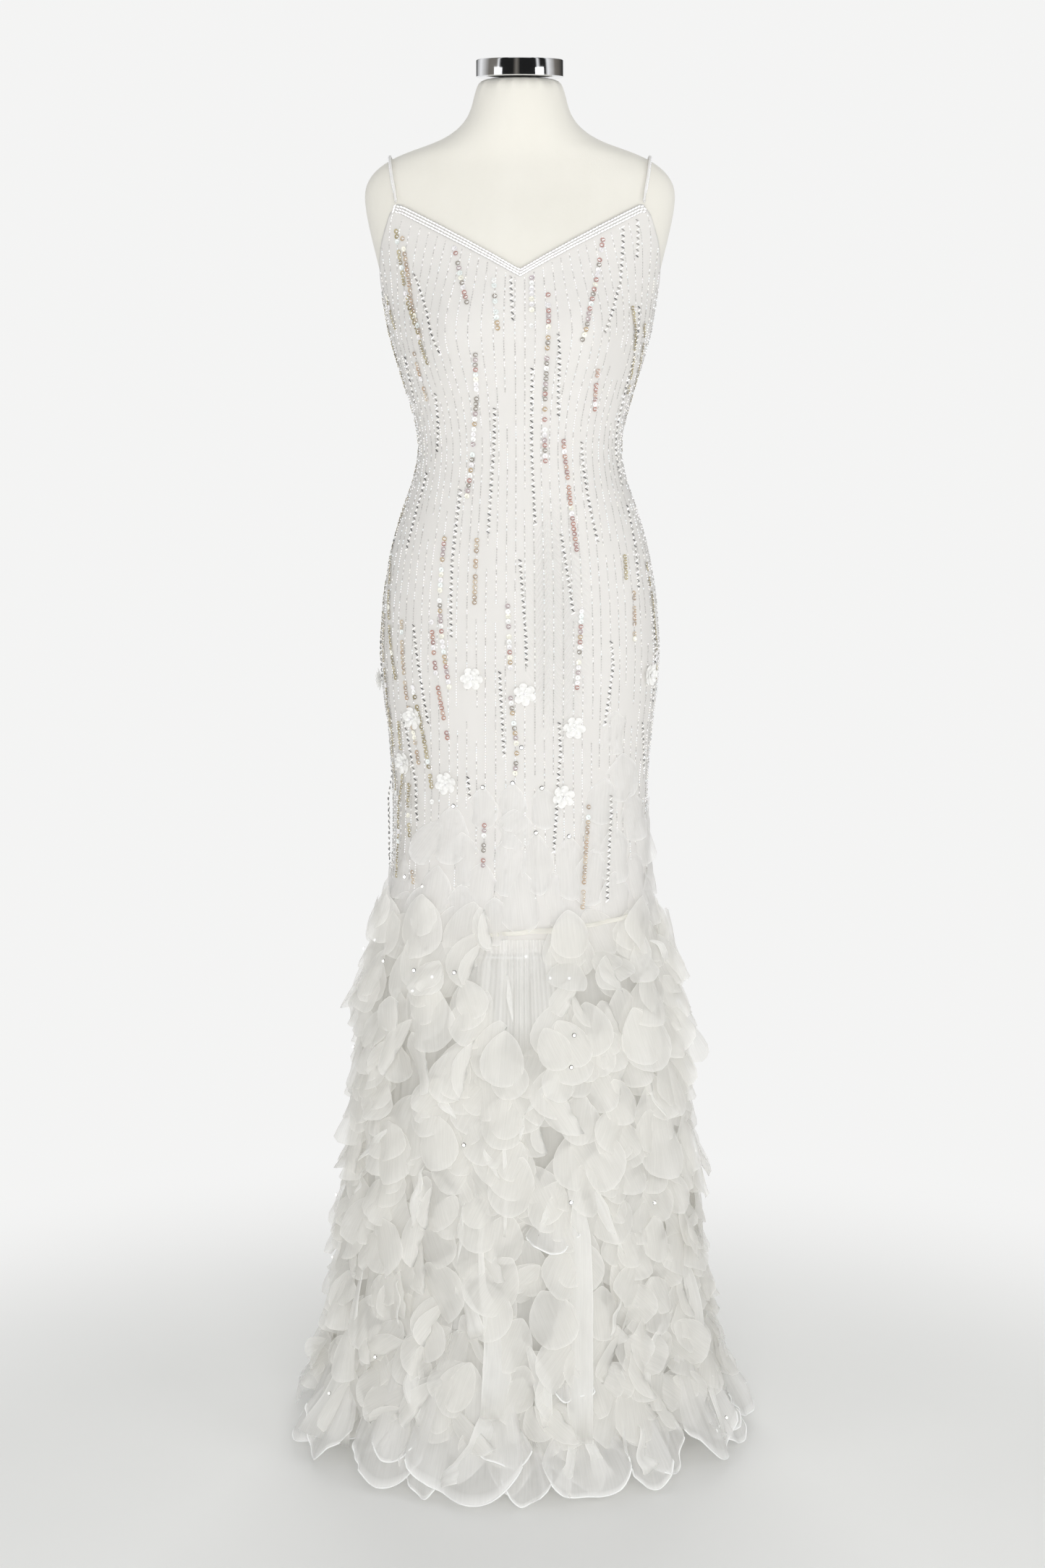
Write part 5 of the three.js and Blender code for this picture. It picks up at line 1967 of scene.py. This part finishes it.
# %% Dark bands for polished things to reflect
world = bpy.data.worlds.new("studio")
world.use_nodes = True
scene.world = world
graph = world.node_tree.nodes
direction = graph.new("ShaderNodeTexCoord")
parts = graph.new("ShaderNodeSeparateXYZ")
azimuth = graph.new("ShaderNodeMath")
azimuth.operation = "ARCTAN2"
share = graph.new("ShaderNodeMapRange")
share.inputs["From Min"].default_value = -math.pi
share.inputs["From Max"].default_value = math.pi
bands = graph.new("ShaderNodeValToRGB")
DARK, GREY, PALE = (0.015, 0.015, 0.015, 1), (0.2, 0.185, 0.165, 1), (1.0, 1.0, 1.0, 1)
BANDS = [
    # share of the way round, and brightness: a quarter is in front, and three quarters behind
    (0.0, GREY),
    (0.07, GREY),
    (0.085, PALE),
    (0.1, DARK),
    (0.2, DARK),
    (0.225, GREY),
    (0.25, DARK),
    (0.37, DARK),
    (0.385, PALE),
    (0.405, DARK),
    (0.45, DARK),
    (0.47, PALE),
    (0.55, GREY),
    (0.68, DARK),
    (0.72, PALE),
    (0.8, DARK),
    (0.9, PALE),
    (1.0, GREY),
]
while len(bands.color_ramp.elements) < len(BANDS):
    bands.color_ramp.elements.new(0.5)
for element, (position, colour) in zip(bands.color_ramp.elements, BANDS):
    element.position = position
    element.color = colour
print("bands in the world:", len(BANDS))

# %% World
AIR = (0.42, 0.425, 0.425, 1)
BOUNCES_THROUGH_CLOTH = 20
air = graph["Background"]
air.inputs["Color"].default_value = AIR
reflected = graph.new("ShaderNodeBackground")
seen_air = graph.new("ShaderNodeBackground")
seen_air.inputs["Color"].default_value = HAZE_COLOUR
ray = graph.new("ShaderNodeLightPath")
with_bands = graph.new("ShaderNodeMixShader")
choice = graph.new("ShaderNodeMixShader")
for output, socket in (
    (direction.outputs["Generated"], parts.inputs[0]),
    (parts.outputs["Y"], azimuth.inputs[0]),
    (parts.outputs["X"], azimuth.inputs[1]),
    (azimuth.outputs[0], share.inputs["Value"]),
    (share.outputs["Result"], bands.inputs["Fac"]),
    (bands.outputs["Color"], reflected.inputs["Color"]),
    (ray.outputs["Is Glossy Ray"], with_bands.inputs[0]),
    (air.outputs[0], with_bands.inputs[1]),
    (reflected.outputs[0], with_bands.inputs[2]),
    (ray.outputs["Is Camera Ray"], choice.inputs[0]),
    (with_bands.outputs[0], choice.inputs[1]),
    (seen_air.outputs[0], choice.inputs[2]),
    (choice.outputs[0], graph["World Output"].inputs["Surface"]),
):
    world.node_tree.links.new(output, socket)
scene.view_settings.view_transform = "Standard"
scene.cycles.transparent_max_bounces = BOUNCES_THROUGH_CLOTH
print("air:", AIR[:3])

# %% [markdown]
# ## Sizes of the cloth
# The area of each cloth is measured, and for most a cut size is worked out from it. The area of a curved
# or gathered panel is a little less than its rectangle.


# %% Cloth sizes
CUT_SHARE = 0.95


def area_of(made):
    """The area of a piece's own faces."""
    return sum(face.area for face in made.data.polygons)


for made, flat in zip(panels, ((0.56, 0.88), (0.29, 0.85), (0.29, 0.85))):
    area = round(area_of(made), 3)
for made in skirts:
    area = round(area_of(made), 3)
for made in (skirt_petals, twin_petals, thigh_petals):
    total = area_of(made)
    flat = (1.5, round(total / 1.1, 3))
for made, width in ((strips, 1.0), (hem_lobes, 1.0), (tapes, 0.02)):
    total = area_of(made)
    flat = (width, round(total / width / CUT_SHARE, 4))
for made in neck_bands:
    total = area_of(made)
    flat = (round(total / BINDING, 4), 0.011)
total = area_of(rosettes)
flat = (0.03, round(total / 0.03 / CUT_SHARE, 4))
